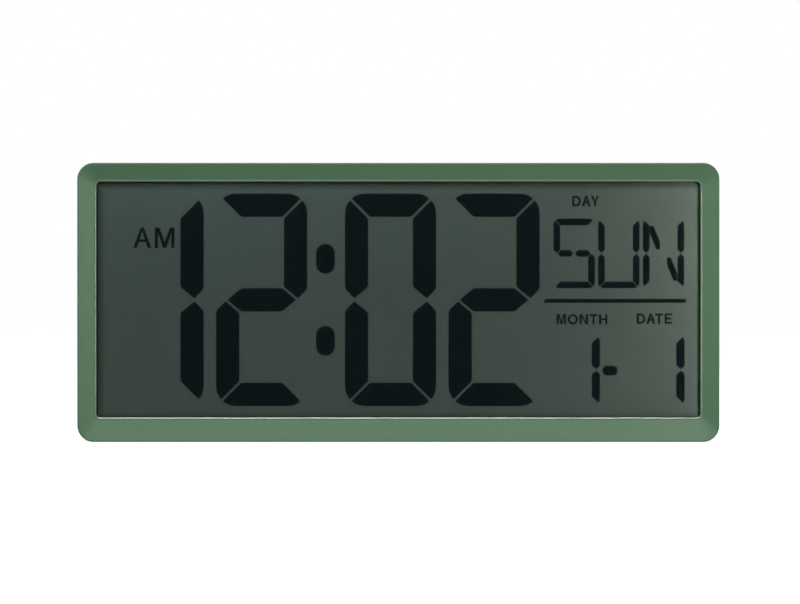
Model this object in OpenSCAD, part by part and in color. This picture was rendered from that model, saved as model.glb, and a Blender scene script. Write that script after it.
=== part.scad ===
// Large-digit LCD wall clock: two moulded shells, a layered display, a clock board, a battery bay,
// four setting keys and a fold-out table stand. All sizes are in millimetres.
// X runs to the right as seen from the front, Y from the front towards the wall, Z up.
// The origin lies under the middle of the case, at table height.

/* [Time digits] */
// Height of a time digit
digit_h = 122.2; // [95:0.1:150]
// Width of a time digit
digit_w = 52.45; // [42:0.05:65]
// Width of a time segment
digit_bar = 13.4; // [9:0.1:15]
// Outer corner radius of a time digit
digit_corner = 11.5; // [8:0.1:13]
// Radius where the outer edge of a time segment turns in to its waist tip
digit_shoulder = 3.4; // [2:0.1:6]
// Distance of a waist tip from the outer edge of its segment
digit_tip = 5.4; // [3.5:0.1:7]
// Gap between two lit time segments
digit_gap = 1.4; // [0.8:0.1:3]
// Space between two neighbouring time digits
digit_space = 7.1; // [4:0.1:12]
// Width of a colon dot
colon_w = 10.8; // [7:0.1:14]
// Height of a colon dot
colon_h = 17.1; // [14.5:0.1:24]
// Space between the hours and the colon
colon_lead = 5.05; // [3:0.05:10]
// Space between the colon and the minutes
colon_trail = 5.8; // [3:0.05:10]
// Height of a colon dot above or below the middle of the digits
colon_rise = 23.6; // [14:0.1:32]

/* [Calendar] */
// Height of a weekday letter
day_h = 40; // [30:0.1:48]
// Width of a weekday letter
day_w = 23.8; // [18:0.05:28]
// Width of a weekday segment
day_bar = 3.85; // [2.4:0.05:4.4]
// Outer corner radius of a weekday letter
day_corner = 3.6; // [2:0.1:4]
// Radius where the outer edge of a weekday segment turns in to its waist tip
day_shoulder = 1; // [0.6:0.1:1.6]
// Gap between two weekday segments
day_gap = 0.4; // [0.2:0.05:0.9]
// Space between two weekday letters
day_space = 1.9; // [1:0.1:4]
// Height of the weekday row above the middle of the digits
day_rise = 26.7; // [24:0.1:34]
// Sideways reach of a slanted stroke of a weekday letter
slant_reach = 5.9; // [4:0.1:6.5]
// Gap between a slanted stroke and the upright beside it
slant_gap = 0.15; // [0.1:0.05:0.5]
// Width of the flat end of a slanted stroke
slant_flat = 2.1; // [1.2:0.1:3]
// Length of the upright side of a slanted stroke
slant_side = 4.3; // [3:0.1:5.5]
// Height of a date digit
date_h = 40.9; // [32:0.1:46]
// Width of a date digit
date_w = 17.5; // [14:0.1:19]
// Width of a date segment
date_bar = 4.8; // [3:0.1:5.5]
// Outer corner radius of a date digit
date_corner = 4.4; // [2.5:0.1:5]
// Radius where the outer edge of a date segment turns in to its waist tip
date_shoulder = 1.2; // [0.8:0.1:2]
// Distance of a waist tip from the outer edge of its date segment
date_tip = 2; // [1.4:0.1:2.4]
// Gap between two date segments
date_gap = 0.6; // [0.3:0.05:1.5]
// Space between two date digits
date_space = 2.1; // [1:0.1:4]
// Depth of the date row below the middle of the digits
date_drop = 40.3; // [34:0.1:46]
// Length of the dash between month and date
dash_w = 8.8; // [6:0.1:10]
// Height of the dash between month and date
dash_h = 5.6; // [3:0.1:5.8]
// Space on either side of the dash
dash_space = 1.4; // [0.8:0.05:2.5]
// Depth of the dash below the middle of the date digits
dash_drop = 0.4; // [0:0.1:1]
// Thickness of the rule between weekday and date
rule_t = 2.25; // [1:0.05:3.5]
// Depth of the rule below the middle of the digits
rule_drop = 0.6; // [0:0.1:3]

/* [Picture margins] */
// Margin to the left of the digits
margin_left = 8.85; // [5:0.05:16]
// Margin to the right of the calendar
margin_right = 7.8; // [5:0.05:16]
// Margin above the digits
margin_top = 6.65; // [4:0.05:12]
// Margin below the digits
margin_bottom = 6.35; // [4:0.05:12]
// Space between the digits and the calendar
panel_gap = 2.7; // [1.5:0.1:8]
// Overhang of the rule to the left of the weekday
rule_lead = 5.2; // [2:0.1:9]
// Overhang of the rule to the right of the weekday
rule_tail = 1; // [0.2:0.1:3]
// Overhang of the rule to the right of the date
date_tail = 0.75; // [0.2:0.05:3]

/* [Shells] */
// Wall thickness of both shells
wall = 2.2; // [1.8:0.1:2.6]
// Outer corner radius of the case
corner_r = 9.5; // [8:0.1:13]
// Radius of the outer front edge
front_edge_r = 0.8; // [0.6:0.1:2.4]
// Radius of the outer rear edge
rear_edge_r = 2; // [1:0.1:2.2]
// Depth by which the bezel slopes back to the window
dish_drop = 2.6; // [1.6:0.1:3.2]
// Thickness of the lip around the window
lip_t = 2.6; // [2:0.1:3.4]
// Radius of the rounded bead along the edge of the lip
bead_r = 0.8; // [0.4:0.05:1]
// Height of the bead above the foot of the slope
bead_rise = 0.2; // [0.1:0.05:0.3]
// Corner radius of the window
window_corner = 2.2; // [1.6:0.1:4]
// Thickness of the rim over its hollow back
rim_t = 3.2; // [2.8:0.1:3.8]
// Depth of the front shell
front_shell_d = 19; // [17.5:0.5:20.5]
// Height of the tongue that centres the rear shell
tongue_h = 1.6; // [1:0.1:2.4]
// Thickness of the tongue
tongue_t = 1.2; // [0.9:0.1:1.5]
// Shadow groove between the two shells
reveal = 0.5; // [0.3:0.1:0.7]
// Radius of a screw post in the front shell
boss_r = 2.8; // [2.6:0.1:3.3]

/* [Display cell] */
// Thickness of the foam gasket
gasket_t = 0.5; // [0.3:0.1:0.8]
// Thickness of the front polariser
film_t = 0.3; // [0.2:0.05:0.4]
// Thickness of one glass
glass_t = 1.1; // [0.9:0.1:1.4]
// Gap between the two glasses
cell_gap = 0.2; // [0.1:0.05:0.3]
// Width of the edge seal between the glasses
seal_w = 1.5; // [1:0.1:2]
// Thickness of the reflector film
mirror_t = 0.35; // [0.2:0.05:0.5]
// Width of glass hidden behind the lip
glass_lap = 2.8; // [2.4:0.1:3.4]
// Width of the contact ledge along the lower edge of the front glass
ledge_w = 3.2; // [3:0.1:4]
// Thickness of the rubber contact strip
zebra_t = 1.8; // [1.4:0.1:2.2]
// Length of the rubber contact strip
zebra_l = 120; // [90:1:128]
// Thickness of the display holder
holder_t = 1.6; // [1.2:0.1:2]
// Width of the bars of the display holder
holder_bar = 7; // [5:0.5:10]
// Height of the posts that carry the board
board_post_h = 1.15; // [0.8:0.05:1.6]

/* [Board] */
// Length of the circuit board
board_w = 168; // [162:1:176]
// Height of the circuit board
board_h = 34; // [32:0.5:37]
// Thickness of the circuit board
board_t = 1.6; // [1.2:0.1:2]
// Side of a key switch
switch_w = 6; // [5:0.1:7]
// Height of a key switch
switch_h = 3.5; // [2.6:0.1:4.2]
// Radius of a switch plunger
plunger_r = 1.7; // [1.3:0.1:2]
// Height by which a plunger stands out
plunger_h = 1; // [0.8:0.1:1.4]

/* [Keys] */
// Distance between two keys
key_pitch = 18; // [17:0.5:19]
// Height of the key row above the table
key_z = 28; // [26:0.5:29]
// Width of a key
key_w = 10; // [8:0.5:11]
// Height of a key
key_h = 6; // [5:0.2:7]
// Width of the flange that holds a key in
key_flange = 1.2; // [0.9:0.1:1.5]
// Travel of a key
key_travel = 0.5; // [0.3:0.05:0.6]

/* [Battery bay] */
// Diameter of a cell
battery_d = 14.5; // [13.6:0.1:16]
// Length of a cell with its tip
battery_l = 50.5; // [46:0.1:54]
// Radius of the tip of a cell
battery_tip_r = 2.7; // [2.2:0.1:3]
// Height of the tip of a cell
battery_tip_h = 1.3; // [1:0.1:1.8]
// Space between the two cells
battery_space = 1; // [0.6:0.1:2]
// Length of a coil spring in use
spring_l = 5; // [4.7:0.1:6]
// Thickness of a contact plate
contact_t = 0.4; // [0.3:0.05:0.5]
// Side of a contact plate
contact_w = 11; // [9.5:0.5:12]
// Wall thickness of the bay
bay_wall = 1.6; // [1.3:0.1:1.9]
// Thickness of the battery door
door_t = 2.4; // [2.2:0.1:2.8]
// Ledge that carries the battery door
door_ledge = 1.5; // [1.2:0.1:2]
// Radius of a hinge pin of the battery door
door_pin_r = 0.8; // [0.7:0.05:0.9]
// Width of the snap tab of the battery door
door_tab_w = 13; // [10:0.5:16]

/* [Table stand] */
// Width of the stand
stand_w = 64; // [52:1:66]
// Length of the stand from its hinge to its foot
stand_l = 76; // [64:1:84]
// Thickness of the stand
stand_t = 4.2; // [3.6:0.1:4.8]
// Thickness of the outer skin of the stand
stand_skin = 1.8; // [1.4:0.1:2.2]
// Corner radius at the foot of the stand
stand_corner = 8; // [5:0.5:12]
// Radius of the hinge pin
stand_pin_r = 1; // [0.8:0.05:1.2]
// Angle at which the stand meets its stop
stand_open = 24; // [20:1:28]

/* [Wall hanging] */
// Distance between the two keyholes
keyhole_span = 220; // [190:1:240]
// Distance of the keyhole entry below the top of the case
keyhole_drop = 24; // [20:0.5:30]
// Radius of the keyhole entry
keyhole_r = 5; // [4.4:0.1:6]
// Width of the keyhole slot
keyhole_slot = 5; // [4.4:0.1:5.4]
// Length of the keyhole slot above the entry
keyhole_rise = 9; // [8:0.5:12]
// Depth of the pocket for the screw head behind a keyhole
keyhole_pocket = 6; // [5:0.5:7]

/* [Fits] */
// Free space around a moulded piece that sits in another
fit = 0.3; // [0.2:0.05:0.4]
// Free space around a turning pin
pin_fit = 0.05; // [0.03:0.01:0.08]
// Depth by which door, stand and keys lie below the rear face
flush = 0.2; // [0.1:0.05:0.3]

/* [Hidden] */
$fn = 64;

// Overlap that joins two bodies of one piece, overshoot of a cut and thickness of a drawn sheet
lap = 0.4;
over = 10;
skin = 0.01;

// Colours
green = [0.21, 0.33, 0.24];
grey_green = [0.3, 0.36, 0.33];
clear = [0.75, 0.82, 0.8, 0.35];
ink = [0.03, 0.05, 0.05];
steel = [0.66, 0.66, 0.68];
white = [0.86, 0.86, 0.83];
black = [0.07, 0.07, 0.07];

// Picture layout, from left to right
panel_w = rule_lead + 3 * day_w + 2 * day_space + rule_tail;
view_w = margin_left + 4 * digit_w + 2 * digit_space + colon_lead + colon_w + colon_trail + panel_gap
  + panel_w + margin_right;
view_h = margin_top + digit_h + margin_bottom;
hours_tens_x = margin_left - view_w / 2;
hours_x = hours_tens_x + digit_w + digit_space;
colon_x = hours_x + digit_w + colon_lead + colon_w / 2;
minutes_tens_x = colon_x + colon_w / 2 + colon_trail;
minutes_x = minutes_tens_x + digit_w + digit_space;
panel_x = minutes_x + digit_w + panel_gap;
panel_end = panel_x + panel_w;

// Case borders: the bezel hides the screw posts and the edge of the glass
boss_root = 0.3;
glass_fit = 0.5;
glass_inset = wall + 2 * boss_r - boss_root + glass_fit;
border = glass_inset + glass_lap;
border_bottom = border + ledge_w;
case_w = view_w + 2 * border;
case_h = view_h + border + border_bottom;
boss_c = wall + boss_r - boss_root;
digit_z = border_bottom + margin_bottom;
middle_z = digit_z + digit_h / 2;

// Depth marks, counted back from the front plane
bead_f = dish_drop - bead_rise;
face_f = dish_drop + lip_t;
film_f = face_f + gasket_t;
front_glass_f = film_f + film_t;
cell_f = front_glass_f + glass_t;
rear_glass_f = cell_f + cell_gap;
mirror_f = rear_glass_f + glass_t;
holder_f = mirror_f + mirror_t;
holder_end = holder_f + holder_t;
board_f = holder_end + board_post_h;
board_end = board_f + board_t;
switch_end = board_end + switch_h;
plunger_end = switch_end + plunger_h;
bay_air = 0.55;
bay_f = holder_end + bay_air + bay_wall;
battery_fit = 0.2;
battery_f = bay_f + battery_fit + battery_d / 2;
door_f = battery_f + battery_d / 2 + battery_fit;
door_end = door_f + door_t;
case_d = door_end + flush;
rear_f = case_d - wall;

// Screws: radius of shank, head and head height, and the pilot bore in a post
cover_screw = [1.4, 2.5, 1.9];
small_screw = [1.1, 2.1, 1.4];
thread_fit = 0.05;
cover_screw_l = 10;
holder_screw_l = 5;
board_screw_l = 3.6;
bore_end = 0.6;
post_r = 3.6;
post_floor = 2.4;
head_fit = 0.25;
cover_inset = 24;
cover_mid = 64;
holder_top_x = 80;
holder_bottom_x = 112;
holder_tab_w = 9;
top_z = case_h - boss_c;
cover_posts = [[cover_inset - case_w / 2, top_z], [0, top_z], [case_w / 2 - cover_inset, top_z],
  [cover_inset - case_w / 2, boss_c], [-cover_mid, boss_c], [cover_mid, boss_c],
  [case_w / 2 - cover_inset, boss_c]];
holder_posts = [[-holder_top_x, top_z], [holder_top_x, top_z], [-holder_bottom_x, boss_c],
  [holder_bottom_x, boss_c]];
seat_f = front_shell_d + post_floor;

// Glass outlines
glass_w = case_w - 2 * glass_inset;
glass_h = case_h - 2 * glass_inset;
glass_z = glass_inset;
rear_glass_z = glass_z + ledge_w;
rear_glass_h = glass_h - ledge_w;
glass_rib = 1.2;
seal_inset = 0.2;
zebra_z = glass_z + ledge_w / 2;

// Board, whose left end lies a little past the stand
board_x = -40;
board_z = glass_z + fit;
board_mid = board_x + board_w / 2;
screw_inset = 5;
board_posts = [for (x = [board_x + screw_inset, board_x + board_w - screw_inset])
  for (z = [rear_glass_z + screw_inset, board_z + board_h - screw_inset]) [x, z]];
chip_x = board_x + 50;
chip_r = 7;
chip_h = 2;
crystal_x = board_x + 64;
crystal_r = 1.5;
crystal_l = 8;
capacitor_x = board_x + 30;
capacitor_z = board_z + board_h - 9;
capacitor_pitch = 3;
capacitor = [1.3, 0.8, 2];
key_x = 62;
key_corner = 2.4;
key_end = case_d - flush;
flange_t = 1.2;
flange_end = rear_f - fit;
flange_f = flange_end - flange_t;
stem_r = 2.4;
collar_t = 1.2;
collar_h = 3;

// Battery bay
bay_x = -100;
bay_z = case_h / 2;
bay_l = battery_l + spring_l + 2 * contact_t;
bay_h = 2 * battery_d + battery_space + 2 * battery_fit;
cell_pitch = battery_d + battery_space;
upper_z = bay_z + cell_pitch / 2;
lower_z = bay_z - cell_pitch / 2;
door_w = bay_l + 2 * door_ledge;
door_h = bay_h + 2 * door_ledge;
bay_rib_h = 2.8;
bay_rib_l = 38;
door_rim = 1.8;
door_axis_f = door_f + door_t / 2;
door_axis_z = bay_z + door_h / 2 - door_t / 2;
door_pin_l = 1.4;
tab_slit = 0.8;
tab_l = 9;
catch_h = 0.2;
nail_h = 4;
grip_t = 0.9;
grip_pitch = 2;
tab_margin = 1.5;
tab_w = 3;
tab_l_out = 2.2;

// Coil springs
wire_r = 0.3;
coil_r = [3.6, 2.2];
coil_turns = 3.5;
coil_steps = 12;
coil_sides = 6;

// Stand and its recess
barrel_r = stand_t / 2;
stand_end = case_d - flush;
hinge_f = stand_end - barrel_r;
stand_gap = 0.6;
recess_wall = 1.8;
recess_z = wall + stand_gap;
hinge_z = recess_z + stand_gap + stand_l;
floor_air = 0.8;
recess_f = hinge_f - barrel_r - floor_air;
stop_gap = 0.15;
heel_in = barrel_r - flush;
heel_w = 8;
heel_h = (barrel_r + floor_air - stop_gap - heel_in * cos(stand_open)) / sin(stand_open);
recess_top = hinge_z + max(barrel_r, heel_h) + stand_gap;
recess_w = stand_w + 2 * stand_gap;
pin_bite = 1.2;
pull_z = 6;
pull_w = 22;
pull_h = 2.5;

// Closed pockets behind the keyholes
hood_wall = 1.2;
hood_w = 2 * keyhole_r + 1;
hood_h = 2 * keyhole_r + keyhole_rise + 1;

// Leads: routes from the contact tabs to the board, as depth, side and height
lead_r = 0.6;
lead_sides = 8;
pad_x = board_x + 12;
tab_x = bay_x + bay_l / 2 + bay_wall + tab_l_out;
red_route = [[tab_x + 0.1, battery_f, upper_z], [tab_x + 5, battery_f, upper_z - 2],
  [tab_x + 8, battery_f - 2, upper_z - 14], [tab_x + 10, battery_f - 3, upper_z - 34],
  [pad_x - 8, board_end + 4, board_z + board_h - 8], [pad_x - 2, board_end + 3, board_z + board_h - 14],
  [pad_x, board_end + 0.1, board_z + board_h - 14]];
black_route = [[tab_x + 0.1, battery_f, lower_z], [tab_x + 3, battery_f, lower_z - 2],
  [tab_x + 5, battery_f - 2, lower_z - 12], [tab_x + 8, battery_f - 3, lower_z - 30],
  [pad_x - 9, board_end + 4, board_z + board_h - 16], [pad_x - 2, board_end + 3, board_z + board_h - 21],
  [pad_x, board_end + 0.1, board_z + board_h - 21]];

// Depth below the front plane as a Y coordinate
function at_y(f) = f - case_d / 2;

// Extrudes a front-view drawing from one depth to another
module slice(f, f_end) {
  translate([0, at_y(f_end), 0])
    rotate([90, 0, 0])
      linear_extrude(f_end - f)
        children();
}

// Rounded rectangle about the middle of a box
module rounded(w, h, r) {
  square([w - 2 * r, h], center = true);
  square([w, h - 2 * r], center = true);
  for (x = [-1, 1])
    for (y = [-1, 1])
      translate([x * (w / 2 - r), y * (h / 2 - r)])
        circle(r);
}

// Outline of the case, set in by a distance
module case_outline(inset) {
  translate([0, case_h / 2])
    rounded(case_w - 2 * inset, case_h - 2 * inset, corner_r - inset);
}

// Box about a point of the front view
module box_at(x, z, w, h) {
  translate([x - w / 2, z - h / 2])
    square([w, h]);
}

// Round bar along X about an axis given by depth and height
module x_bar(x, x_end, f, z, r) {
  translate([x, at_y(f), z])
    rotate([0, 90, 0])
      cylinder(h = x_end - x, r = r);
}

// Section of a slab whose first edge has two rounded corners
module soft_section(d, l, e) {
  translate([e, 0])
    square([d - e, l]);
  translate([0, e])
    square([d, l - 2 * e]);
  for (y = [e, l - e])
    translate([e, y])
      circle(e);
}

// Section of a corner post with one rounded rim
module post_section(d, r, e) {
  translate([0, e])
    square([r, d - e]);
  square([r - e, d]);
  translate([r - e, e])
    circle(e);
}

// Block with the outline of the case and a rounded edge at depth 0
module soft_block(d, e) {
  translate([corner_r - case_w / 2, 0, 0])
    rotate([90, 0, 90])
      linear_extrude(case_w - 2 * corner_r)
        soft_section(d, case_h, e);
  translate([-case_w / 2, 0, corner_r])
    linear_extrude(case_h - 2 * corner_r)
      mirror([1, -1, 0])
        soft_section(d, case_w, e);
  for (x = [corner_r - case_w / 2, case_w / 2 - corner_r])
    for (z = [corner_r, case_h - corner_r])
      translate([x, 0, z])
        rotate([-90, 0, 0])
          rotate_extrude()
            post_section(d, corner_r, e);
}

// Outline of the window, grown by a distance
module window_outline(grow) {
  translate([0, border_bottom + view_h / 2])
    rounded(view_w + 2 * grow, view_h + 2 * grow, window_corner + grow);
}

// Sweeps a section around the window, outward from the axes of its corners and back from a depth
module around_window(f) {
  for (k = [0:3]) {
    run = (k % 2 == 0 ? view_w : view_h) - 2 * window_corner;
    x = (k == 0 || k == 3 ? 1 : -1) * (view_w / 2 - window_corner);
    z = (k < 2 ? -1 : 1) * (view_h / 2 - window_corner);
    translate([x, at_y(f), border_bottom + view_h / 2 + z])
      rotate([0, 90 * k, 0]) {
        rotate([-90, 0, 0])
          rotate_extrude(angle = 90)
            children();
        translate([-run, 0, 0])
          rotate([0, 90, 0])
            linear_extrude(run)
              children();
      }
  }
}

// Section of the lip: a round bead on an upright wall
module lip_section() {
  translate([window_corner + bead_r, bead_r])
    circle(bead_r);
  translate([window_corner, bead_r])
    square([2 * bead_r, face_f - bead_f - bead_r]);
}

// Thin sheet that ends at a depth
module sheet(f) {
  slice(f - skin, f)
    children();
}

// Pilot bore of a post that opens at a depth
module pilot(p, r, f, l) {
  slice(f - l - bore_end, f + lap)
    translate(p)
      circle(r + thread_fit);
}

// Front shell with its dished bezel, glass pocket and screw posts
module front_bezel() {
  color(green)
    difference() {
      union() {
        difference() {
          translate([0, at_y(0), 0])
            soft_block(front_shell_d, front_edge_r);
          slice(face_f, front_shell_d + over)
            case_outline(wall);
          slice(rim_t, face_f + lap)
            difference() {
              case_outline(wall);
              box_at(0, case_h / 2, glass_w + 2 * (fit + glass_rib), glass_h + 2 * (fit + glass_rib));
            }
        }
        slice(face_f - lap, mirror_f)
          difference() {
            box_at(0, case_h / 2, glass_w + 2 * (fit + glass_rib), glass_h + 2 * (fit + glass_rib));
            box_at(0, case_h / 2, glass_w + 2 * fit, glass_h + 2 * fit);
          }
        for (p = cover_posts)
          slice(rim_t - lap, front_shell_d)
            translate(p)
              circle(boss_r);
        for (p = holder_posts)
          slice(rim_t - lap, holder_f)
            translate(p)
              circle(boss_r);
      }
      hull() {
        sheet(0)
          case_outline(front_edge_r, $fn = 96);
        sheet(dish_drop)
          window_outline(bead_r, $fn = 96);
      }
      slice(dish_drop - lap, face_f + over)
        window_outline(bead_r);
      for (p = cover_posts)
        pilot(p, cover_screw[0], front_shell_d, cover_screw_l - post_floor);
      for (p = holder_posts)
        pilot(p, small_screw[0], holder_f, holder_screw_l - holder_t);
    }
  color(green)
    around_window(bead_f)
      lip_section();
}

// Keyhole outline: round entry below, slot above
module keyhole() {
  circle(keyhole_r);
  translate([-keyhole_slot / 2, 0])
    square([keyhole_slot, keyhole_rise]);
  translate([0, keyhole_rise])
    circle(keyhole_slot / 2);
}

// Screw-head pocket behind a keyhole, grown by a distance
module keyhole_hood(grow) {
  translate([0, keyhole_rise / 2])
    square([hood_w + 2 * grow, hood_h + 2 * grow], center = true);
}

// Places a drawing at both keyholes
module at_keyholes() {
  for (x = [-1, 1])
    translate([x * keyhole_span / 2, case_h - keyhole_drop])
      children();
}

// Key outline about its own middle, grown by a distance
module key_outline(grow) {
  rounded(key_w + 2 * grow, key_h + 2 * grow, key_corner + grow);
}

// Outline of the stand and its recess, grown by a distance
module stand_outline(grow, top) {
  translate([-stand_w / 2 - grow, hinge_z - stand_l + stand_corner])
    square([stand_w + 2 * grow, top - hinge_z + stand_l - stand_corner]);
  for (x = [-1, 1])
    translate([x * (stand_w / 2 - stand_corner), hinge_z - stand_l + stand_corner])
      circle(stand_corner + grow);
  translate([-stand_w / 2 + stand_corner, hinge_z - stand_l - grow])
    square([stand_w - 2 * stand_corner, stand_corner + grow]);
}

// Rear shell with battery bay, stand recess, key collars, screw posts and keyholes
module rear_cover() {
  color(green)
    difference() {
      union() {
        difference() {
          translate([0, at_y(case_d), 0])
            mirror([0, 1, 0])
              soft_block(case_d - front_shell_d, rear_edge_r);
          slice(front_shell_d - over, rear_f)
            case_outline(wall);
        }
        slice(front_shell_d, front_shell_d + tongue_h)
          difference() {
            case_outline(wall - lap);
            case_outline(wall + fit + tongue_t);
          }
        slice(front_shell_d - tongue_h, front_shell_d + lap)
          difference() {
            case_outline(wall + fit);
            case_outline(wall + fit + tongue_t);
          }
        slice(bay_f - bay_wall, door_f)
          box_at(bay_x, bay_z, bay_l + 2 * bay_wall, bay_h + 2 * bay_wall);
        slice(door_f - bay_wall, rear_f + lap)
          box_at(bay_x, bay_z, door_w + 2 * (fit + door_rim), door_h + 2 * (fit + door_rim));
        slice(recess_f - recess_wall, rear_f + lap)
          translate([-recess_w / 2 - recess_wall - pin_bite, wall / 2])
            square([recess_w + 2 * (recess_wall + pin_bite), recess_top + recess_wall - wall / 2]);
        for (p = cover_posts)
          slice(front_shell_d, rear_f + lap)
            translate(p)
              circle(post_r);
        for (i = [0:3])
          slice(flange_f - collar_h, rear_f + lap)
            translate([key_x + i * key_pitch, key_z])
              key_outline(key_flange + fit + collar_t);
        slice(rear_f - keyhole_pocket - hood_wall, rear_f + lap)
          at_keyholes()
            keyhole_hood(hood_wall);
      }
      slice(front_shell_d - over, front_shell_d)
        for (p = cover_posts)
          translate(p)
            circle(boss_r + fit);
      slice(front_shell_d - lap, front_shell_d + reveal)
        difference() {
          case_outline(-lap);
          case_outline(reveal);
        }
      for (p = cover_posts) {
        slice(front_shell_d - over, case_d)
          translate(p)
            circle(cover_screw[0] + head_fit);
        slice(seat_f, case_d + over)
          translate(p)
            circle(cover_screw[1] + head_fit);
      }
      slice(bay_f, case_d + over)
        box_at(bay_x, bay_z, bay_l, bay_h);
      slice(door_f, case_d + over)
        box_at(bay_x, bay_z, door_w + 2 * fit, door_h + 2 * fit);
      x_bar(bay_x - door_w / 2 - door_pin_l - fit, bay_x + door_w / 2 + door_pin_l + fit, door_axis_f,
        door_axis_z, door_pin_r + pin_fit);
      slice(case_d - wall / 2, case_d + over)
        box_at(bay_x, bay_z - door_h / 2, door_tab_w, 2 * nail_h);
      for (z = [upper_z, lower_z])
        slice(battery_f - tab_w / 2 - fit, battery_f + tab_w / 2 + fit)
          box_at(bay_x + bay_l / 2 + bay_wall / 2, z, bay_wall + 2 * lap, contact_t + 2 * fit);
      slice(recess_f, case_d + over)
        stand_outline(stand_gap, recess_top);
      x_bar(-recess_w / 2 - pin_bite, recess_w / 2 + pin_bite, hinge_f, hinge_z, stand_pin_r + pin_fit);
      for (i = [0:3])
        translate([key_x + i * key_pitch, 0, key_z]) {
          slice(flange_f - collar_h - lap, rear_f)
            key_outline(key_flange + fit);
          slice(rear_f - lap, case_d + over)
            key_outline(fit);
        }
      slice(rear_f - keyhole_pocket, rear_f)
        at_keyholes()
          keyhole_hood(0);
      slice(rear_f - lap, case_d + over)
        at_keyholes()
          keyhole();
    }
  battery_rib();
}

// Low rib between the two cells
module battery_rib() {
  color(green)
    slice(bay_f - lap, bay_f + bay_rib_h)
      box_at(bay_x, bay_z, bay_rib_l, battery_space);
}

// Foam frame between lip and polariser
module bezel_gasket() {
  color(black)
    slice(face_f, film_f)
      difference() {
        box_at(0, case_h / 2, glass_w, glass_h);
        translate([0, border_bottom + view_h / 2])
          rounded(view_w + glass_lap / 2, view_h + glass_lap / 2, window_corner);
      }
}

// Front polariser with its satin outer face
module lcd_front_polariser() {
  color(clear)
    slice(film_f, front_glass_f)
      box_at(0, case_h / 2, glass_w - 2 * fit, glass_h - 2 * fit);
}

// Front glass, whose lower edge is the contact ledge
module lcd_front_glass() {
  color(clear)
    slice(front_glass_f, cell_f)
      box_at(0, case_h / 2, glass_w, glass_h);
}

// Rear outline of the display cell, set in by a distance
module rear_glass_outline(inset) {
  box_at(0, rear_glass_z + rear_glass_h / 2, glass_w - 2 * inset, rear_glass_h - 2 * inset);
}

// Edge seal between the glasses
module lcd_edge_seal() {
  color(grey_green)
    slice(cell_f, rear_glass_f)
      difference() {
        rear_glass_outline(seal_inset);
        rear_glass_outline(seal_inset + seal_w);
      }
}

// Rear glass
module lcd_rear_glass() {
  color(clear)
    slice(rear_glass_f, mirror_f)
      rear_glass_outline(0);
}

// Reflector film on the back of the cell
module lcd_reflector() {
  color(grey_green)
    slice(mirror_f, holder_f)
      rear_glass_outline(fit);
}

// Top bar of a seven-segment glyph
module top_bar(w, h, b, r, g) {
  m = g / sqrt(2);
  intersection() {
    polygon([[m, h], [w - m, h], [w - b - m, h - b], [b + m, h - b]]);
    union() {
      translate([r, h - b])
        square([w - 2 * r, b]);
      for (x = [r, w - r])
        translate([x, h - r])
          circle(r);
      translate([0, h - b - r])
        square([w, b]);
    }
  }
}

// Upper left bar of a seven-segment glyph, with its waist tip a set distance from the outer edge
module side_bar(h, b, r, g, tip, shoulder) {
  m = g / sqrt(2);
  rise = g / 2 * norm([b - tip, b / 2]) / (b - tip);
  tip_y = h / 2 + rise;
  arc_y = tip_y + tip + shoulder * (sqrt(2) - 1);
  turn_x = shoulder * (1 - sqrt(0.5));
  intersection() {
    polygon([[0, h - m], [b, h - b - m], [b, tip_y + b / 2], [tip, tip_y], [0, tip_y + tip]]);
    union() {
      translate([0, arc_y])
        square([b, h - r - arc_y]);
      translate([r, h - r])
        circle(r);
      translate([shoulder, arc_y])
        circle(shoulder);
      translate([r, h - r - lap])
        square([2 * b, r]);
      translate([turn_x, tip_y])
        square([2 * b, arc_y - tip_y + lap]);
    }
  }
}

// Middle bar of a seven-segment glyph
module middle_bar(w, h, b, g, tip) {
  s = g / 2 * norm([b - tip, b / 2]) / (b / 2);
  polygon([[tip + s, h / 2], [b + s, h / 2 + b / 2], [w - b - s, h / 2 + b / 2], [w - tip - s, h / 2],
    [w - b - s, h / 2 - b / 2], [b + s, h / 2 - b / 2]]);
}

// Reflects a drawing in the middle of a width
module other_side(w) {
  translate([w, 0])
    mirror([1, 0])
      children();
}

// Reflects a drawing in the middle of a height
module upside_down(h) {
  translate([0, h])
    mirror([0, 1])
      children();
}

// One glyph from the letters of its lit segments
module glyph(lit, w, h, b, r, g, tip, shoulder) {
  for (s = lit) {
    if (s == "a")
      top_bar(w, h, b, r, g);
    if (s == "b")
      other_side(w)
        side_bar(h, b, r, g, tip, shoulder);
    if (s == "c")
      upside_down(h)
        other_side(w)
          side_bar(h, b, r, g, tip, shoulder);
    if (s == "d")
      upside_down(h)
        top_bar(w, h, b, r, g);
    if (s == "e")
      upside_down(h)
        side_bar(h, b, r, g, tip, shoulder);
    if (s == "f")
      side_bar(h, b, r, g, tip, shoulder);
    if (s == "g")
      middle_bar(w, h, b, g, tip);
  }
}

// One time digit with its lower left corner at the origin
module time_digit(lit) {
  glyph(lit, digit_w, digit_h, digit_bar, digit_corner, digit_gap, digit_tip, digit_shoulder);
}

// One date digit
module date_digit(lit) {
  glyph(lit, date_w, date_h, date_bar, date_corner, date_gap, date_tip, date_shoulder);
}

// One weekday letter without its middle strokes
module day_letter(lit) {
  glyph(lit, day_w, day_h, day_bar, day_corner, day_gap, day_bar / 2, day_shoulder);
}

// Half of the middle bar of a weekday letter
module half_bar() {
  c = day_bar / 2;
  x = c + day_gap;
  x_end = day_w / 2 - day_gap;
  polygon([[x, day_h / 2], [x + c, day_h / 2 + c], [x_end - c, day_h / 2 + c], [x_end, day_h / 2],
    [x_end - c, day_h / 2 - c], [x + c, day_h / 2 - c]]);
}

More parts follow.
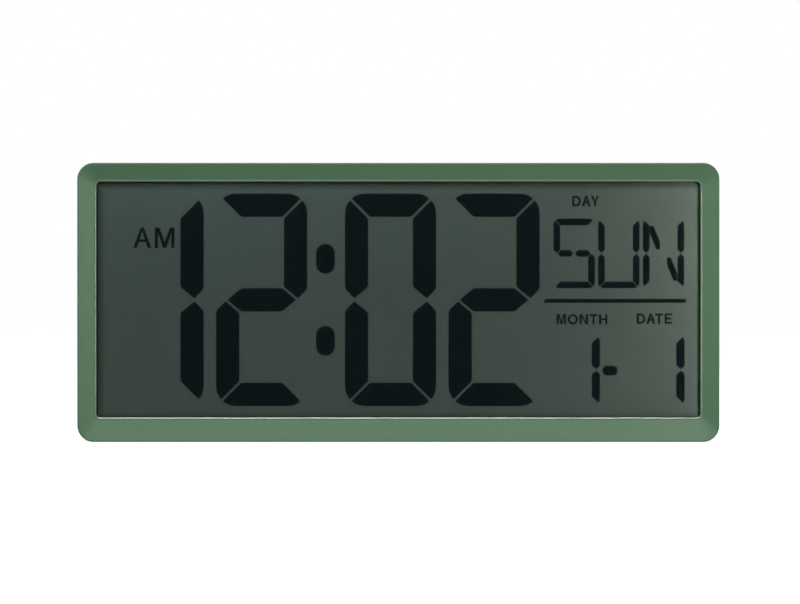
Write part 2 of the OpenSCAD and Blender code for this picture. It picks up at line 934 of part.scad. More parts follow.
// Slanted stroke that fills the upper left field of a weekday letter from corner to corner
module slant() {
  x = day_bar + slant_gap;
  x_end = x + slant_reach;
  y = day_h - day_bar - day_gap;
  y_end = day_h / 2 + day_bar / 2 + day_gap;
  polygon([[x, y], [x + slant_flat, y], [x_end, y_end + slant_side], [x_end, y_end],
    [x_end - slant_flat, y_end], [x, y - slant_side]]);
}

// Upright or flat pill about its own middle
module pill(w, h) {
  r = min(w, h) / 2;
  square([w > h ? w - 2 * r : w, w > h ? h : h - 2 * r], center = true);
  translate([w / 2 - r, h / 2 - r])
    circle(r);
  translate([r - w / 2, r - h / 2])
    circle(r);
}

// The picture as lit: time, colon, weekday, rule, month, dash and date
module picture() {
  translate([hours_tens_x, digit_z])
    time_digit("bc");
  translate([hours_x, digit_z])
    time_digit("abged");
  translate([minutes_tens_x, digit_z])
    time_digit("abcdef");
  translate([minutes_x, digit_z])
    time_digit("abged");
  for (s = [-1, 1])
    translate([colon_x, middle_z + s * colon_rise])
      pill(colon_w, colon_h);
  day_x = panel_x + rule_lead;
  day_z = middle_z + day_rise - day_h / 2;
  translate([day_x, day_z]) {
    day_letter("afcd");
    half_bar();
    other_side(day_w)
      half_bar();
  }
  translate([day_x + day_w + day_space, day_z])
    day_letter("bcdef");
  translate([day_x + 2 * (day_w + day_space), day_z]) {
    day_letter("bcef");
    slant();
    other_side(day_w)
      upside_down(day_h)
        slant();
  }
  translate([panel_x, middle_z - rule_drop - rule_t / 2])
    square([panel_w, rule_t]);
  date_end = panel_end - date_tail;
  dash_x = date_end - 2 * date_w - date_space - dash_space - dash_w;
  date_z = middle_z - date_drop - date_h / 2;
  translate([date_end - date_w, date_z])
    date_digit("bc");
  translate([dash_x - dash_space - date_w, date_z])
    date_digit("bc");
  translate([dash_x + dash_w / 2, date_z + date_h / 2 - dash_drop])
    pill(dash_w, dash_h);
}

// Lit segments between the glasses
module lcd_segments() {
  color(ink)
    slice(cell_f, rear_glass_f)
      picture();
}

// Tab that carries the holder on one post
module holder_tab(p) {
  top = p[1] > case_h / 2;
  z = top ? p[1] : p[1] - small_screw[1];
  l = top ? glass_inset - boss_c + small_screw[1] : rear_glass_z - p[1] + small_screw[1];
  translate([p[0] - holder_tab_w / 2, top ? z + small_screw[1] - l - lap : z])
    square([holder_tab_w, l + lap]);
}

// Holder behind the display: barred plate with tabs and board posts
module lcd_holder() {
  bars = 5;
  pane_w = (glass_w - (bars + 1) * holder_bar) / bars;
  pane_z = board_z + board_h + holder_bar;
  pane_h = glass_z + glass_h - holder_bar - pane_z;
  color(white)
    difference() {
      union() {
        slice(holder_f, holder_end) {
          difference() {
            rear_glass_outline(0);
            for (i = [0:bars - 1])
              translate([holder_bar - glass_w / 2 + i * (pane_w + holder_bar), pane_z])
                square([pane_w, pane_h]);
          }
          for (p = holder_posts)
            holder_tab(p);
        }
        slice(holder_end - lap, board_f)
          for (p = board_posts)
            translate(p)
              circle(boss_r);
      }
      slice(holder_f - lap, holder_end + lap)
        for (p = holder_posts)
          translate(p)
            circle(small_screw[0] + head_fit);
      slice(holder_f + fit, board_f + lap)
        for (p = board_posts)
          translate(p)
            circle(small_screw[0] + thread_fit);
    }
}

// Pan-head screw at a seat depth, its shank running forward and its cross recess open to the back
module screw(size, l) {
  difference() {
    union() {
      slice(-l, lap)
        circle(size[0]);
      slice(0, size[2])
        circle(size[1]);
    }
    slice(size[2] / 2, size[2] + lap) {
      square([1.5 * size[1], size[1] / 4], center = true);
      square([size[1] / 4, 1.5 * size[1]], center = true);
    }
  }
}

// One screw at each post
module screws(posts, size, f, l) {
  color(steel)
    for (p = posts)
      translate([p[0], f, p[1]])
        screw(size, l);
}

// Screws of the display holder
module holder_screws() {
  screws(holder_posts, small_screw, holder_end, holder_screw_l);
}

// Screws of the board
module board_screws() {
  screws(board_posts, small_screw, board_end, board_screw_l);
}

// Screws of the rear shell
module cover_screws() {
  screws(cover_posts, cover_screw, seat_f, cover_screw_l);
}

// Rubber contact strip between the ledge of the glass and the board
module zebra_strip() {
  color(black)
    slice(cell_f, board_f)
      box_at(board_mid, zebra_z, zebra_l, zebra_t);
}

// Clock board
module circuit_board() {
  color([0.12, 0.32, 0.2])
    slice(board_f, board_end)
      difference() {
        translate([board_x, board_z])
          square([board_w, board_h]);
        for (p = board_posts)
          translate(p)
            circle(small_screw[0] + head_fit);
      }
}

// Resin drop over the clock chip
module clock_chip() {
  ball_r = (chip_r ^ 2 + chip_h ^ 2) / (2 * chip_h);
  color(black)
    translate([chip_x, at_y(board_end), board_z + board_h / 2])
      rotate([-90, 0, 0])
        rotate_extrude()
          intersection() {
            translate([0, chip_h - ball_r])
              circle(ball_r, $fn = 256);
            square([chip_r + lap, chip_h + lap]);
          }
}

// Quartz crystal lying on the board
module quartz_crystal() {
  color(steel)
    x_bar(crystal_x, crystal_x + crystal_l, board_end + crystal_r, board_z + board_h / 2, crystal_r);
}

// Chip capacitors in a row beside the chip
module chip_capacitors() {
  color([0.6, 0.5, 0.38])
    for (i = [0:4])
      slice(board_end, board_end + capacitor[1])
        box_at(capacitor_x + i * capacitor_pitch, capacitor_z, capacitor[0], capacitor[2]);
}

// Switch bodies, each with a well for its plunger
module key_switches() {
  color(black)
    for (i = [0:3])
      key_switch(i);
}

// One switch body
module key_switch(i) {
  difference() {
    slice(board_end, switch_end)
      box_at(key_x + i * key_pitch, key_z, switch_w, switch_w);
    slice(switch_end - plunger_h - key_travel - fit, switch_end + lap)
      translate([key_x + i * key_pitch, key_z])
        circle(plunger_r + fit);
  }
}

// Switch plunger, of which a part stays in the well over the whole travel
module plunger(i) {
  color(white)
    slice(switch_end - plunger_h, plunger_end)
      translate([key_x + i * key_pitch, key_z])
        circle(plunger_r);
}

// Key with its flange and stem
module key(i) {
  color(black)
    translate([key_x + i * key_pitch, 0, key_z]) {
      slice(flange_end - lap, key_end)
        key_outline(0);
      slice(flange_f, flange_end)
        key_outline(key_flange);
      slice(plunger_end, flange_f + lap)
        circle(stem_r);
    }
}

module set_key() {
  key(0);
}

module up_key() {
  key(1);
}

module down_key() {
  key(2);
}

module format_key() {
  key(3);
}

module set_plunger() {
  plunger(0);
}

module up_plunger() {
  plunger(1);
}

module down_plunger() {
  plunger(2);
}

module format_plunger() {
  plunger(3);
}

// Cell with its tip towards +X, the base at the origin
module battery_cell() {
  rim = 0.6;
  rotate([0, 90, 0])
    rotate_extrude() {
      translate([0, rim])
        square([battery_d / 2, battery_l - battery_tip_h - 2 * rim]);
      square([battery_d / 2 - rim, battery_l - battery_tip_h]);
      for (y = [rim, battery_l - battery_tip_h - rim])
        translate([battery_d / 2 - rim, y])
          circle(rim);
      square([battery_tip_r, battery_l]);
    }
}

// The two cells, laid opposite ways
module battery_cells() {
  color([0.42, 0.42, 0.44]) {
    translate([bay_x + bay_l / 2 - contact_t - battery_l, at_y(battery_f), upper_z])
      battery_cell();
    translate([bay_x - bay_l / 2 + contact_t + battery_l, at_y(battery_f), lower_z])
      mirror([1, 0, 0])
        battery_cell();
  }
}

// Tube along a line of points, closed at both ends
module tube(points, r, sides) {
  n = len(points);
  rings = [for (i = [0:n - 1])
    let (
      d = points[min(i + 1, n - 1)] - points[max(i - 1, 0)],
      t = d / norm(d),
      a = abs(t[0]) < 0.8 ? [1, 0, 0] : [0, 0, 1],
      u = cross(t, a) / norm(cross(t, a)),
      v = cross(t, u)
    )
    for (k = [0:sides - 1]) points[i] + r * (cos(360 * k / sides) * u + sin(360 * k / sides) * v)];
  walls = [for (i = [0:n - 2]) for (k = [0:sides - 1])
    let (a = i * sides + k, b = i * sides + (k + 1) % sides)
    for (face = [[a, b + sides, b], [a, a + sides, b + sides]]) face];
  caps = [[for (k = [0:sides - 1]) k], [for (k = [sides - 1:-1:0]) (n - 1) * sides + k]];
  polyhedron(rings, concat(walls, caps));
}

// Points of a coil that narrows along +X
coil = [for (i = [0:coil_turns * coil_steps])
  let (
    s = i / (coil_turns * coil_steps),
    r = coil_r[0] + s * (coil_r[1] - coil_r[0]),
    a = 360 * i / coil_steps
  )
  [s * (spring_l - 2 * wire_r) + wire_r, r * cos(a), r * sin(a)]];
coil_gap = min([for (i = [0:len(coil) - 1]) for (j = [i + ceil(coil_steps / 2):1:len(coil) - 1])
  norm(coil[i] - coil[j])]) - 2 * wire_r;
echo(least_gap_between_coils = coil_gap);

// Flat contact plate against an end wall, its middle at a point
module contact_plate(x, z, h) {
  translate([x, 0, 0])
    slice(battery_f - contact_w / 2, battery_f + contact_w / 2)
      box_at(0, z, contact_t, h);
}

// Tab of a contact through the end wall
module contact_tab(z) {
  slice(battery_f - tab_w / 2, battery_f + tab_w / 2)
    translate([bay_x + bay_l / 2 - contact_t, z - contact_t / 2])
      square([contact_t + bay_wall + tab_l_out, contact_t]);
}

// Positive contact at the right end
module plus_contact() {
  color(steel) {
    contact_plate(bay_x + bay_l / 2 - contact_t / 2, upper_z, contact_w);
    contact_tab(upper_z);
  }
}

// Negative contact at the right end, with its coil spring
module minus_contact() {
  color(steel) {
    contact_plate(bay_x + bay_l / 2 - contact_t / 2, lower_z, contact_w);
    contact_tab(lower_z);
    translate([bay_x + bay_l / 2 - contact_t, at_y(battery_f), lower_z])
      mirror([1, 0, 0])
        spring_coil();
  }
}

// Coil spring that sinks a little into its plate
module spring_coil() {
  translate([-wire_r / 2, 0, 0])
    tube(coil, wire_r, coil_sides);
}

// Bridge contact at the left end, with its coil spring
module bridge_contact() {
  color(steel) {
    contact_plate(bay_x - bay_l / 2 + contact_t / 2, bay_z, cell_pitch + contact_w);
    translate([bay_x - bay_l / 2 + contact_t, at_y(battery_f), upper_z])
      spring_coil();
  }
}

// Smooth line through route points given as side, depth and height
function bend(p, steps) = [for (i = [0:len(p) - 2]) for (k = [0:steps - (i == len(p) - 2 ? 0 : 1)])
  let (
    s = k / steps,
    a = p[max(i - 1, 0)],
    b = p[i],
    c = p[i + 1],
    d = p[min(i + 2, len(p) - 1)]
  )
  0.5 * (2 * b + (c - a) * s + (2 * a - 5 * b + 4 * c - d) * s ^ 2 + (3 * b - a - 3 * c + d) * s ^ 3)];

// Lead along a route
module lead(route) {
  translate([0, at_y(0), 0])
    tube(bend(route, 5), lead_r, lead_sides);
}

module red_lead() {
  color([0.7, 0.1, 0.08])
    lead(red_route);
}

module black_lead() {
  color(black)
    lead(black_route);
}

// Battery door: hinge pins at its upper edge, snap tab at its lower edge
module battery_door() {
  low = bay_z - door_h / 2;
  color(green) {
    difference() {
      slice(door_f, door_end)
        translate([bay_x - door_w / 2, low])
          square([door_w, door_axis_z - low]);
      slice(door_f - lap, door_f + door_t / 3)
        box_at(bay_x, bay_z, bay_l - 2 * door_ledge, bay_h - 2 * door_ledge);
      for (s = [-1, 1])
        slice(door_f - lap, door_end + lap)
          box_at(bay_x + s * (door_tab_w + tab_slit) / 2, low, tab_slit, 2 * tab_l);
      for (i = [1:3])
        slice(door_end - door_t / 4, door_end + lap)
          box_at(bay_x, low + i * grip_pitch, door_tab_w - 2 * tab_margin, grip_t);
    }
    slice(door_f + door_t / 3, door_end - door_t / 3)
      box_at(bay_x, low, door_tab_w - 2 * tab_margin, 2 * catch_h);
    x_bar(bay_x - door_w / 2, bay_x + door_w / 2, door_axis_f, door_axis_z, door_t / 2);
    x_bar(bay_x - door_w / 2 - door_pin_l, bay_x + door_w / 2 + door_pin_l, door_axis_f, door_axis_z,
      door_pin_r);
  }
}

// Fold-out stand: skin, rim, ribs, hinge barrel and the two heels that meet the stop
module table_stand() {
  color(green)
    difference() {
      union() {
        slice(stand_end - stand_skin, stand_end)
          stand_outline(0, hinge_z);
        slice(stand_end - stand_t, stand_end)
          difference() {
            stand_outline(0, hinge_z);
            stand_outline(-stand_skin, hinge_z + lap);
          }
        for (x = [-1, 1])
          slice(stand_end - stand_t, stand_end)
            translate([x * stand_w / 6 - stand_skin / 2, hinge_z - stand_l + lap])
              square([stand_skin, stand_l - lap]);
        x_bar(-stand_w / 2, stand_w / 2, hinge_f, hinge_z, barrel_r);
        for (x = [-1, 1])
          slice(hinge_f - heel_in, hinge_f)
            translate([x * (stand_w / 2 - heel_w) - heel_w / 2, hinge_z])
              square([heel_w, heel_h]);
      }
      x_bar(-stand_w, stand_w, hinge_f, hinge_z, stand_pin_r + pin_fit);
      slice(stand_end - stand_skin / 2, stand_end + lap)
        box_at(0, hinge_z - stand_l + pull_z, pull_w, pull_h);
    }
}

// Steel hinge pin of the stand
module stand_pin() {
  reach = recess_w / 2 + pin_bite - fit;
  color(steel)
    x_bar(-reach, reach, hinge_f, hinge_z, stand_pin_r);
}

front_bezel();
rear_cover();
bezel_gasket();
lcd_front_polariser();
lcd_front_glass();
lcd_segments();
lcd_edge_seal();
lcd_rear_glass();
lcd_reflector();
lcd_holder();
holder_screws();
zebra_strip();
circuit_board();
board_screws();
clock_chip();
quartz_crystal();
chip_capacitors();
key_switches();
set_key();
up_key();
down_key();
format_key();
set_plunger();
up_plunger();
down_plunger();
format_plunger();
battery_cells();
plus_contact();
minus_contact();
bridge_contact();
red_lead();
black_lead();
battery_door();
table_stand();
stand_pin();
cover_screws();
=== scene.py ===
"""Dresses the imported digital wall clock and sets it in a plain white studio.

Every length is in metres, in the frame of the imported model: +X to the right seen from the front,
+Y from the display towards the wall, +Z up, with the table under the case at zero.
"""
import logging
import math
from dataclasses import dataclass, field
from enum import Enum
from typing import Any

import bmesh
import bpy
from mathutils import Matrix, Vector


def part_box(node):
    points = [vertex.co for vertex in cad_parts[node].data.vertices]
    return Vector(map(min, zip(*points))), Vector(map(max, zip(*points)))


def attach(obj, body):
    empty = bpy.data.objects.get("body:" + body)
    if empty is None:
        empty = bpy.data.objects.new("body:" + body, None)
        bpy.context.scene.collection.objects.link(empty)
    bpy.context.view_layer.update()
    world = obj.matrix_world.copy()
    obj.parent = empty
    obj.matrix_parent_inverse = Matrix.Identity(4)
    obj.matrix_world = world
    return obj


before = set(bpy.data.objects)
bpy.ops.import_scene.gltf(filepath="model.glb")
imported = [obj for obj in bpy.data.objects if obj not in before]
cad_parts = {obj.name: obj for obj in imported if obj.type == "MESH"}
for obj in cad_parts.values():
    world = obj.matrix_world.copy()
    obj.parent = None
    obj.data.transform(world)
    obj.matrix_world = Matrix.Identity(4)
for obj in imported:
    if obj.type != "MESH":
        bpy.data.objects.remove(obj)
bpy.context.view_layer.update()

Colour = tuple[float, float, float]
Place = tuple[float, float, float]
Outline = list[tuple[float, float]]

LOG = logging.getLogger("wall_clock")
MM = 0.001
QUARTER_TURN = math.pi / 2
HALF_TURN = math.pi
FULL_TURN = 2 * math.pi

# The sockets of a Mix node that mixes colours.
MIX_SHARE = 0
MIX_FIRST = 6
MIX_SECOND = 7
MIX_RESULT = 2

# The curve by which a screen shows a linear colour.
SCREEN_TOP = 255
SCREEN_KNEE = 0.04045
SCREEN_SLOPE = 12.92
SCREEN_LIFT = 0.055
SCREEN_POWER = 2.4


def straightened(level: int) -> float:
    """Turns one channel as a screen shows it into the linear one that shaders take.

    Args:
        level: The channel, from 0 to 255.

    Returns:
        The linear channel, from 0 to 1.
    """
    share = level / SCREEN_TOP
    if share <= SCREEN_KNEE:
        return share / SCREEN_SLOPE
    return ((share + SCREEN_LIFT) / (1 + SCREEN_LIFT)) ** SCREEN_POWER


def tone(red: int, green: int, blue: int) -> Colour:
    """Gives the linear colour of three channels from 0 to 255."""
    return straightened(red), straightened(green), straightened(blue)


def shaded(colour: Colour, share: float) -> Colour:
    """Gives the colour with every part times share."""
    return tuple(part * share for part in colour)


WHITE = (1.0, 1.0, 1.0)
CASE_GREEN = (0.078, 0.184, 0.0965)
INNER_WHITE = tone(226, 226, 218)


class Value:
    """A shader socket that takes part in Python sums."""

    def __init__(self, shade: "Shade", socket: bpy.types.NodeSocket) -> None:
        """Keeps the socket and the node tree that it belongs to."""
        self.shade = shade
        self.socket = socket

    def _sum(self, operation: str, first: "float | Value", second: "float | Value") -> "Value":
        """Adds a Math node of that operation on two values, and gives its result."""
        node = self.shade.node("ShaderNodeMath", {"operation": operation}, {0: first, 1: second})
        return Value(self.shade, node.outputs[0])

    def __add__(self, other: "float | Value") -> "Value":
        """Gives self + other."""
        return self._sum("ADD", self, other)

    def __radd__(self, other: "float | Value") -> "Value":
        """Gives other + self."""
        return self._sum("ADD", other, self)

    def __sub__(self, other: "float | Value") -> "Value":
        """Gives self - other."""
        return self._sum("SUBTRACT", self, other)

    def __rsub__(self, other: "float | Value") -> "Value":
        """Gives other - self."""
        return self._sum("SUBTRACT", other, self)

    def __mul__(self, other: "float | Value") -> "Value":
        """Gives self times other."""
        return self._sum("MULTIPLY", self, other)

    def __rmul__(self, other: "float | Value") -> "Value":
        """Gives other times self."""
        return self._sum("MULTIPLY", other, self)

    def __abs__(self) -> "Value":
        """Gives self without its sign."""
        return self._sum("ABSOLUTE", self, 0.0)

    def __gt__(self, other: "float | Value") -> "Value":
        """Gives 1 where self is above other, and 0 elsewhere."""
        return self._sum("GREATER_THAN", self, other)

    def __lt__(self, other: "float | Value") -> "Value":
        """Gives 1 where self is below other, and 0 elsewhere."""
        return self._sum("LESS_THAN", self, other)

    def larger(self, other: "float | Value") -> "Value":
        """Gives the larger of self and other."""
        return self._sum("MAXIMUM", self, other)

    def within(self, low: float, high: float) -> "Value":
        """Gives self, held between low and high."""
        return self._sum("MINIMUM", self.larger(low), high)

    def root(self) -> "Value":
        """Gives the square root of self."""
        return self._sum("SQRT", self, 0.0)

    def swing(self, width: float) -> "Value":
        """Gives a pattern of 0 to 1 as a swing about zero, which is width from end to end."""
        return (self - 0.5) * width


class Shade:
    """A node tree under construction, of a surface or of the surroundings."""

    def __init__(self, tree: bpy.types.NodeTree, place: str) -> None:
        """Empties the tree and gives it the coordinates that its patterns follow.

        Args:
            tree: The node tree.
            place: The coordinates' name.
        """
        self.tree = tree
        self.tree.nodes.clear()
        self.place = self.node("ShaderNodeTexCoord", {}, {}).outputs[place]

    def node(self, kind: str, settings: dict[str, Any], inputs: dict[Any, Any]) -> bpy.types.Node:
        """Adds one node.

        Args:
            kind: The node's type.
            settings: What is set on the node first.
            inputs: The value or link of each socket, by name or by number.

        Returns:
            The node.
        """
        node = self.tree.nodes.new(kind)
        for key, setting in settings.items():
            setattr(node, key, setting)
        for key, given in inputs.items():
            socket = node.inputs[key]
            given = given.socket if isinstance(given, Value) else given
            if isinstance(given, bpy.types.NodeSocket):
                self.tree.links.new(given, socket)
            elif socket.type == "RGBA" and len(given) == 3:
                socket.default_value = (*given, 1.0)
            else:
                socket.default_value = given
        return node

    def axes(self) -> tuple[Value, Value, Value]:
        """Gives the x, y and z of the tree's coordinates."""
        node = self.node("ShaderNodeSeparateXYZ", {}, {0: self.place})
        return tuple(Value(self, socket) for socket in node.outputs)

    def rays(self) -> tuple[Value, Value]:
        """Tells how a ray comes.

        Returns:
            1 for what the eye sees straight or through glass, and 1 for what a shiny surface mirrors.
        """
        path = self.node("ShaderNodeLightPath", {}, {})
        kinds = ("Is Camera Ray", "Is Transmission Ray", "Is Glossy Ray")
        straight, through, mirrored = (Value(self, path.outputs[kind]) for kind in kinds)
        return (straight + through) > 0.5, mirrored


class Surface(Shade):
    """The node tree of one material."""

    finer_share = 0.55

    def __init__(self, name: str) -> None:
        """Starts an empty material.

        Args:
            name: The material's name.
        """
        self.material = bpy.data.materials.new(name)
        self.material.use_nodes = True
        super().__init__(self.material.node_tree, "Object")

    def noise(self, size: float, detail: float = 2.0, stretch: Place = (1, 1, 1)) -> Value:
        """Adds a cloudy pattern.

        Args:
            size: How far its spots are apart.
            detail: How many finer layers it has, each weaker than the one before by finer_share.
            stretch: How many times closer together the spots are along x, y and z.

        Returns:
            The pattern, from 0 to 1 and about one half on the whole.
        """
        place = self.node("ShaderNodeMapping", {}, {"Vector": self.place, "Scale": stretch}).outputs[0]
        inputs = {"Vector": place, "Scale": 1 / size, "Detail": detail, "Roughness": self.finer_share}
        return Value(self, self.node("ShaderNodeTexNoise", {}, inputs).outputs[0])

    def pits(self, size: float) -> Value:
        """Adds a pattern of round cells that lie size apart."""
        inputs = {"Vector": self.place, "Scale": 1 / size}
        return Value(self, self.node("ShaderNodeTexVoronoi", {}, inputs).outputs["Distance"])

    def blend(self, share: Value, first: Any, second: Any) -> bpy.types.NodeSocket:
        """Mixes two colours or colour sockets, of which the second shows by its share."""
        inputs = {MIX_SHARE: share, MIX_FIRST: first, MIX_SECOND: second}
        return self.node("ShaderNodeMix", {"data_type": "RGBA"}, inputs).outputs[MIX_RESULT]

    def uneven(self, pattern: Value, colour: Colour, swing: float) -> bpy.types.NodeSocket:
        """Makes a colour that a pattern of 0 to 1 darkens and brightens by the share swing."""
        return self.blend(pattern, shaded(colour, 1 - swing), shaded(colour, 1 + swing))

    def bump(self, height: Value, depth: float) -> bpy.types.NodeSocket:
        """Makes a relief of that depth from a pattern."""
        inputs = {"Height": height, "Distance": depth, "Strength": 1.0}
        return self.node("ShaderNodeBump", {}, inputs).outputs[0]

    def principled(self, **inputs: Any) -> bpy.types.Material:
        """Closes the material with a Principled shader, whose sockets have _ for each space."""
        named = {key.replace("_", " "): given for key, given in inputs.items()}
        return self.close(self.node("ShaderNodeBsdfPrincipled", {}, named))

    def close(self, shader: bpy.types.Node) -> bpy.types.Material:
        """Joins a shader to the output and gives the material."""
        self.node("ShaderNodeOutputMaterial", {}, {"Surface": shader.outputs[0]})
        return self.material


class Relief(Enum):
    """How a mould's surface is finished: the size of its grain."""

    SATIN = 0.25 * MM
    SPARKED = 0.7 * MM


@dataclass(frozen=True)
class MouldedPlastic:
    """Coloured plastic as it leaves a textured mould.

    Attributes:
        name: The material's name.
        colour: Its mean colour.
        roughness: Its mean roughness.
        shine: How much light its skin throws back.
        relief: The mould's grain.
        depth: The depth of the grain.
        mottle: The size of the flow clouds.
        colour_swing: How much the clouds change the colour, as a share.
        grain_swing: How much the grain changes the roughness.
        cloud_swing: How much the clouds change the roughness.
    """

    name: str
    colour: Colour
    roughness: float = 0.5
    shine: float = 0.4
    relief: Relief = Relief.SATIN
    depth: float = 0.012 * MM
    mottle: float = 22 * MM
    colour_swing: float = 0.045
    grain_swing: float = 0.16
    cloud_swing: float = 0.08

    def make(self) -> bpy.types.Material:
        """Builds the material: an even colour, with fine mould grain and faint flow clouds.

        Returns:
            The material.
        """
        shade = Surface(self.name)
        grain = shade.noise(self.relief.value, detail=3.0)
        clouds = shade.noise(self.mottle)
        return shade.principled(
            Base_Color=shade.uneven(clouds, self.colour, self.colour_swing),
            Roughness=self.roughness + grain.swing(self.grain_swing) + clouds.swing(self.cloud_swing),
            Specular_IOR_Level=self.shine,
            Normal=shade.bump(grain, self.depth),
            **self._gloss(shade),
        )

    def _gloss(self, shade: Surface) -> dict[str, Any]:
        """Gives the sockets of a gloss over the plastic, which plain plastic lacks."""
        return {}


@dataclass(frozen=True)
class RearPlastic(MouldedPlastic):
    """The plastic of the back: the same green, from a coarser mould."""

    colour: Colour = CASE_GREEN
    roughness: float = 0.58
    relief: Relief = Relief.SPARKED
    depth: float = 0.03 * MM


@dataclass(frozen=True)
class RimPlastic(MouldedPlastic):
    """The plastic of the front: textured on the slopes of the rim, polished along the window's lip.

    Attributes:
        half_wide: Half of the window's width.
        low: The window's foot.
        high: The window's top.
        turn: The radius of the window's corners.
        side_lip: How wide the polished lip is down the sides.
        rail_lip: How wide it is along the top and the foot.
        fade: How far the polish takes to run out.
        polish: The lip's roughness.
        index: The lip's index of refraction.
    """

    colour: Colour = CASE_GREEN
    roughness: float = 0.36
    shine: float = 0.5
    half_wide: float = 173.2 * MM
    low: float = 14.0 * MM
    high: float = 149.2 * MM
    turn: float = 2.2 * MM
    side_lip: float = 1.2 * MM
    rail_lip: float = 0.85 * MM
    fade: float = 0.15 * MM
    polish: float = 0.15
    index: float = 2.4

    def _gloss(self, shade: Surface) -> dict[str, Any]:
        """Gives the gloss of the lip, by the distance from the window's edge.

        Args:
            shade: The plastic's node tree.

        Returns:
            The sockets of the gloss.
        """
        across, _, height = shade.axes()
        half_high = (self.high - self.low) / 2
        middle = self.low + half_high
        beside = (abs(across) - (self.half_wide - self.turn)).larger(0.0)
        above = (abs(height - middle) - (half_high - self.turn)).larger(0.0)
        outward = (beside * beside + above * above).root() - self.turn
        lip = self.side_lip - (self.side_lip - self.rail_lip) * (above > 0.0)
        on_lip = ((lip - outward) * (1 / self.fade)).within(0.0, 1.0)
        return {"Coat_Weight": on_lip, "Coat_Roughness": self.polish, "Coat_IOR": self.index}


@dataclass(frozen=True)
class PaintedShadeEdge:
    """One side of the painted shade along the display's edges: where it begins, and how much further out it
    is at its darkest.
    """

    at: float
    fade: float

    def depth(self, place: Value) -> Value:
        """Gives how far a place is into the painted shade: 0 where it begins, and 1 at its darkest."""
        return (place - self.at) * (1 / self.fade)


@dataclass(frozen=True)
class DisplayGround:
    """The pearly film behind the liquid crystal, with painted shade along its edges for the shadow and
    occlusion of the window's lip.

    Attributes:
        name: The material's name.
        colour: The film's mean colour.
        roughness: Its mean roughness.
        metal: How metallic it is.
        grain: The size of the pearly grain.
        depth: The depth of the grain.
        clouds: The size of the cloudy patches.
        pearl_swing: How much the grain changes the colour, as a share.
        cloud_swing: How much the patches change the roughness.
        left: Where the painted shade begins on the left, soft and wide.
        right: Where it begins on the right, short and sharp: a painted cast shadow of the lip.
        low: Where it begins at the foot.
        high: Where it begins at the top: a painted shadow under the top of the lip.
        painted_shade_dark: How much of the film the painted shade covers at its darkest.
        painted_shade_tint: The painted shade's colour, a dark green that is a painted reflection of the
            rim's green inner walls.
    """

    name: str = "display_ground"
    colour: Colour = (0.095, 0.132, 0.1215)
    roughness: float = 0.25
    metal: float = 0.6
    grain: float = 0.3 * MM
    depth: float = 0.001 * MM
    clouds: float = 60 * MM
    pearl_swing: float = 0.04
    cloud_swing: float = 0.03
    left: PaintedShadeEdge = PaintedShadeEdge(-168.2 * MM, -5.0 * MM)
    right: PaintedShadeEdge = PaintedShadeEdge(171.5 * MM, 0.8 * MM)
    low: PaintedShadeEdge = PaintedShadeEdge(17.2 * MM, -5.0 * MM)
    high: PaintedShadeEdge = PaintedShadeEdge(144.4 * MM, 3.4 * MM)
    painted_shade_dark: float = 0.7
    painted_shade_tint: Colour = shaded(CASE_GREEN, 0.15)

    def make(self) -> bpy.types.Material:
        """Builds the material: a satin metal film with a fine pearly grain, darkened by painted shade
        towards its edges.

        Returns:
            The material.
        """
        shade = Surface(self.name)
        grain = shade.noise(self.grain)
        clouds = shade.noise(self.clouds, detail=1.0)
        pearl = shade.uneven(grain, self.colour, self.pearl_swing)
        across, _, height = shade.axes()
        # Painted shade: the film darkens towards the window's edges, where the lip's shadow and occlusion
        # fall. There it also takes on the rim's green as a painted reflection.
        aside = self.left.depth(across).larger(self.right.depth(across))
        outside = aside.larger(self.low.depth(height)).larger(self.high.depth(height))
        dark = (outside * self.painted_shade_dark).within(0.0, self.painted_shade_dark)
        return shade.principled(
            Base_Color=shade.blend(dark, pearl, self.painted_shade_tint),
            Metallic=self.metal,
            Roughness=self.roughness + clouds.swing(self.cloud_swing),
            Normal=shade.bump(grain, self.depth),
        )


@dataclass(frozen=True)
class ClearSheet:
    """A clear layer of the display, coated against reflections."""

    name: str
    tint: Colour = (0.96, 0.97, 0.965)
    index: float = 1.08
    roughness: float = 0.25

    def make(self) -> bpy.types.Material:
        """Builds the material: see-through, with a shine that grows towards the edge of view.

        Returns:
            The material.
        """
        shade = Surface(self.name)
        through = shade.node("ShaderNodeBsdfTransparent", {}, {"Color": self.tint})
        shine = shade.node("ShaderNodeBsdfGlossy", {}, {"Color": WHITE, "Roughness": self.roughness})
        share = shade.node("ShaderNodeFresnel", {}, {"IOR": self.index})
        inputs = {0: share.outputs[0], 1: through.outputs[0], 2: shine.outputs[0]}
        return shade.close(shade.node("ShaderNodeMixShader", {}, inputs))


@dataclass(frozen=True)
class Ink:
    """A thin dark or light print, with faint patches."""

    name: str
    colour: Colour
    roughness: float = 0.6
    shine: float = 0.1
    patch: float = 3 * MM
    colour_swing: float = 0.08
    patch_swing: float = 0.1

    def make(self) -> bpy.types.Material:
        """Builds the material: a flat ink, a little uneven.

        Returns:
            The material.
        """
        shade = Surface(self.name)
        patches = shade.noise(self.patch)
        return shade.principled(
            Base_Color=shade.uneven(patches, self.colour, self.colour_swing),
            Roughness=self.roughness + patches.swing(self.patch_swing),
            Specular_IOR_Level=self.shine,
        )


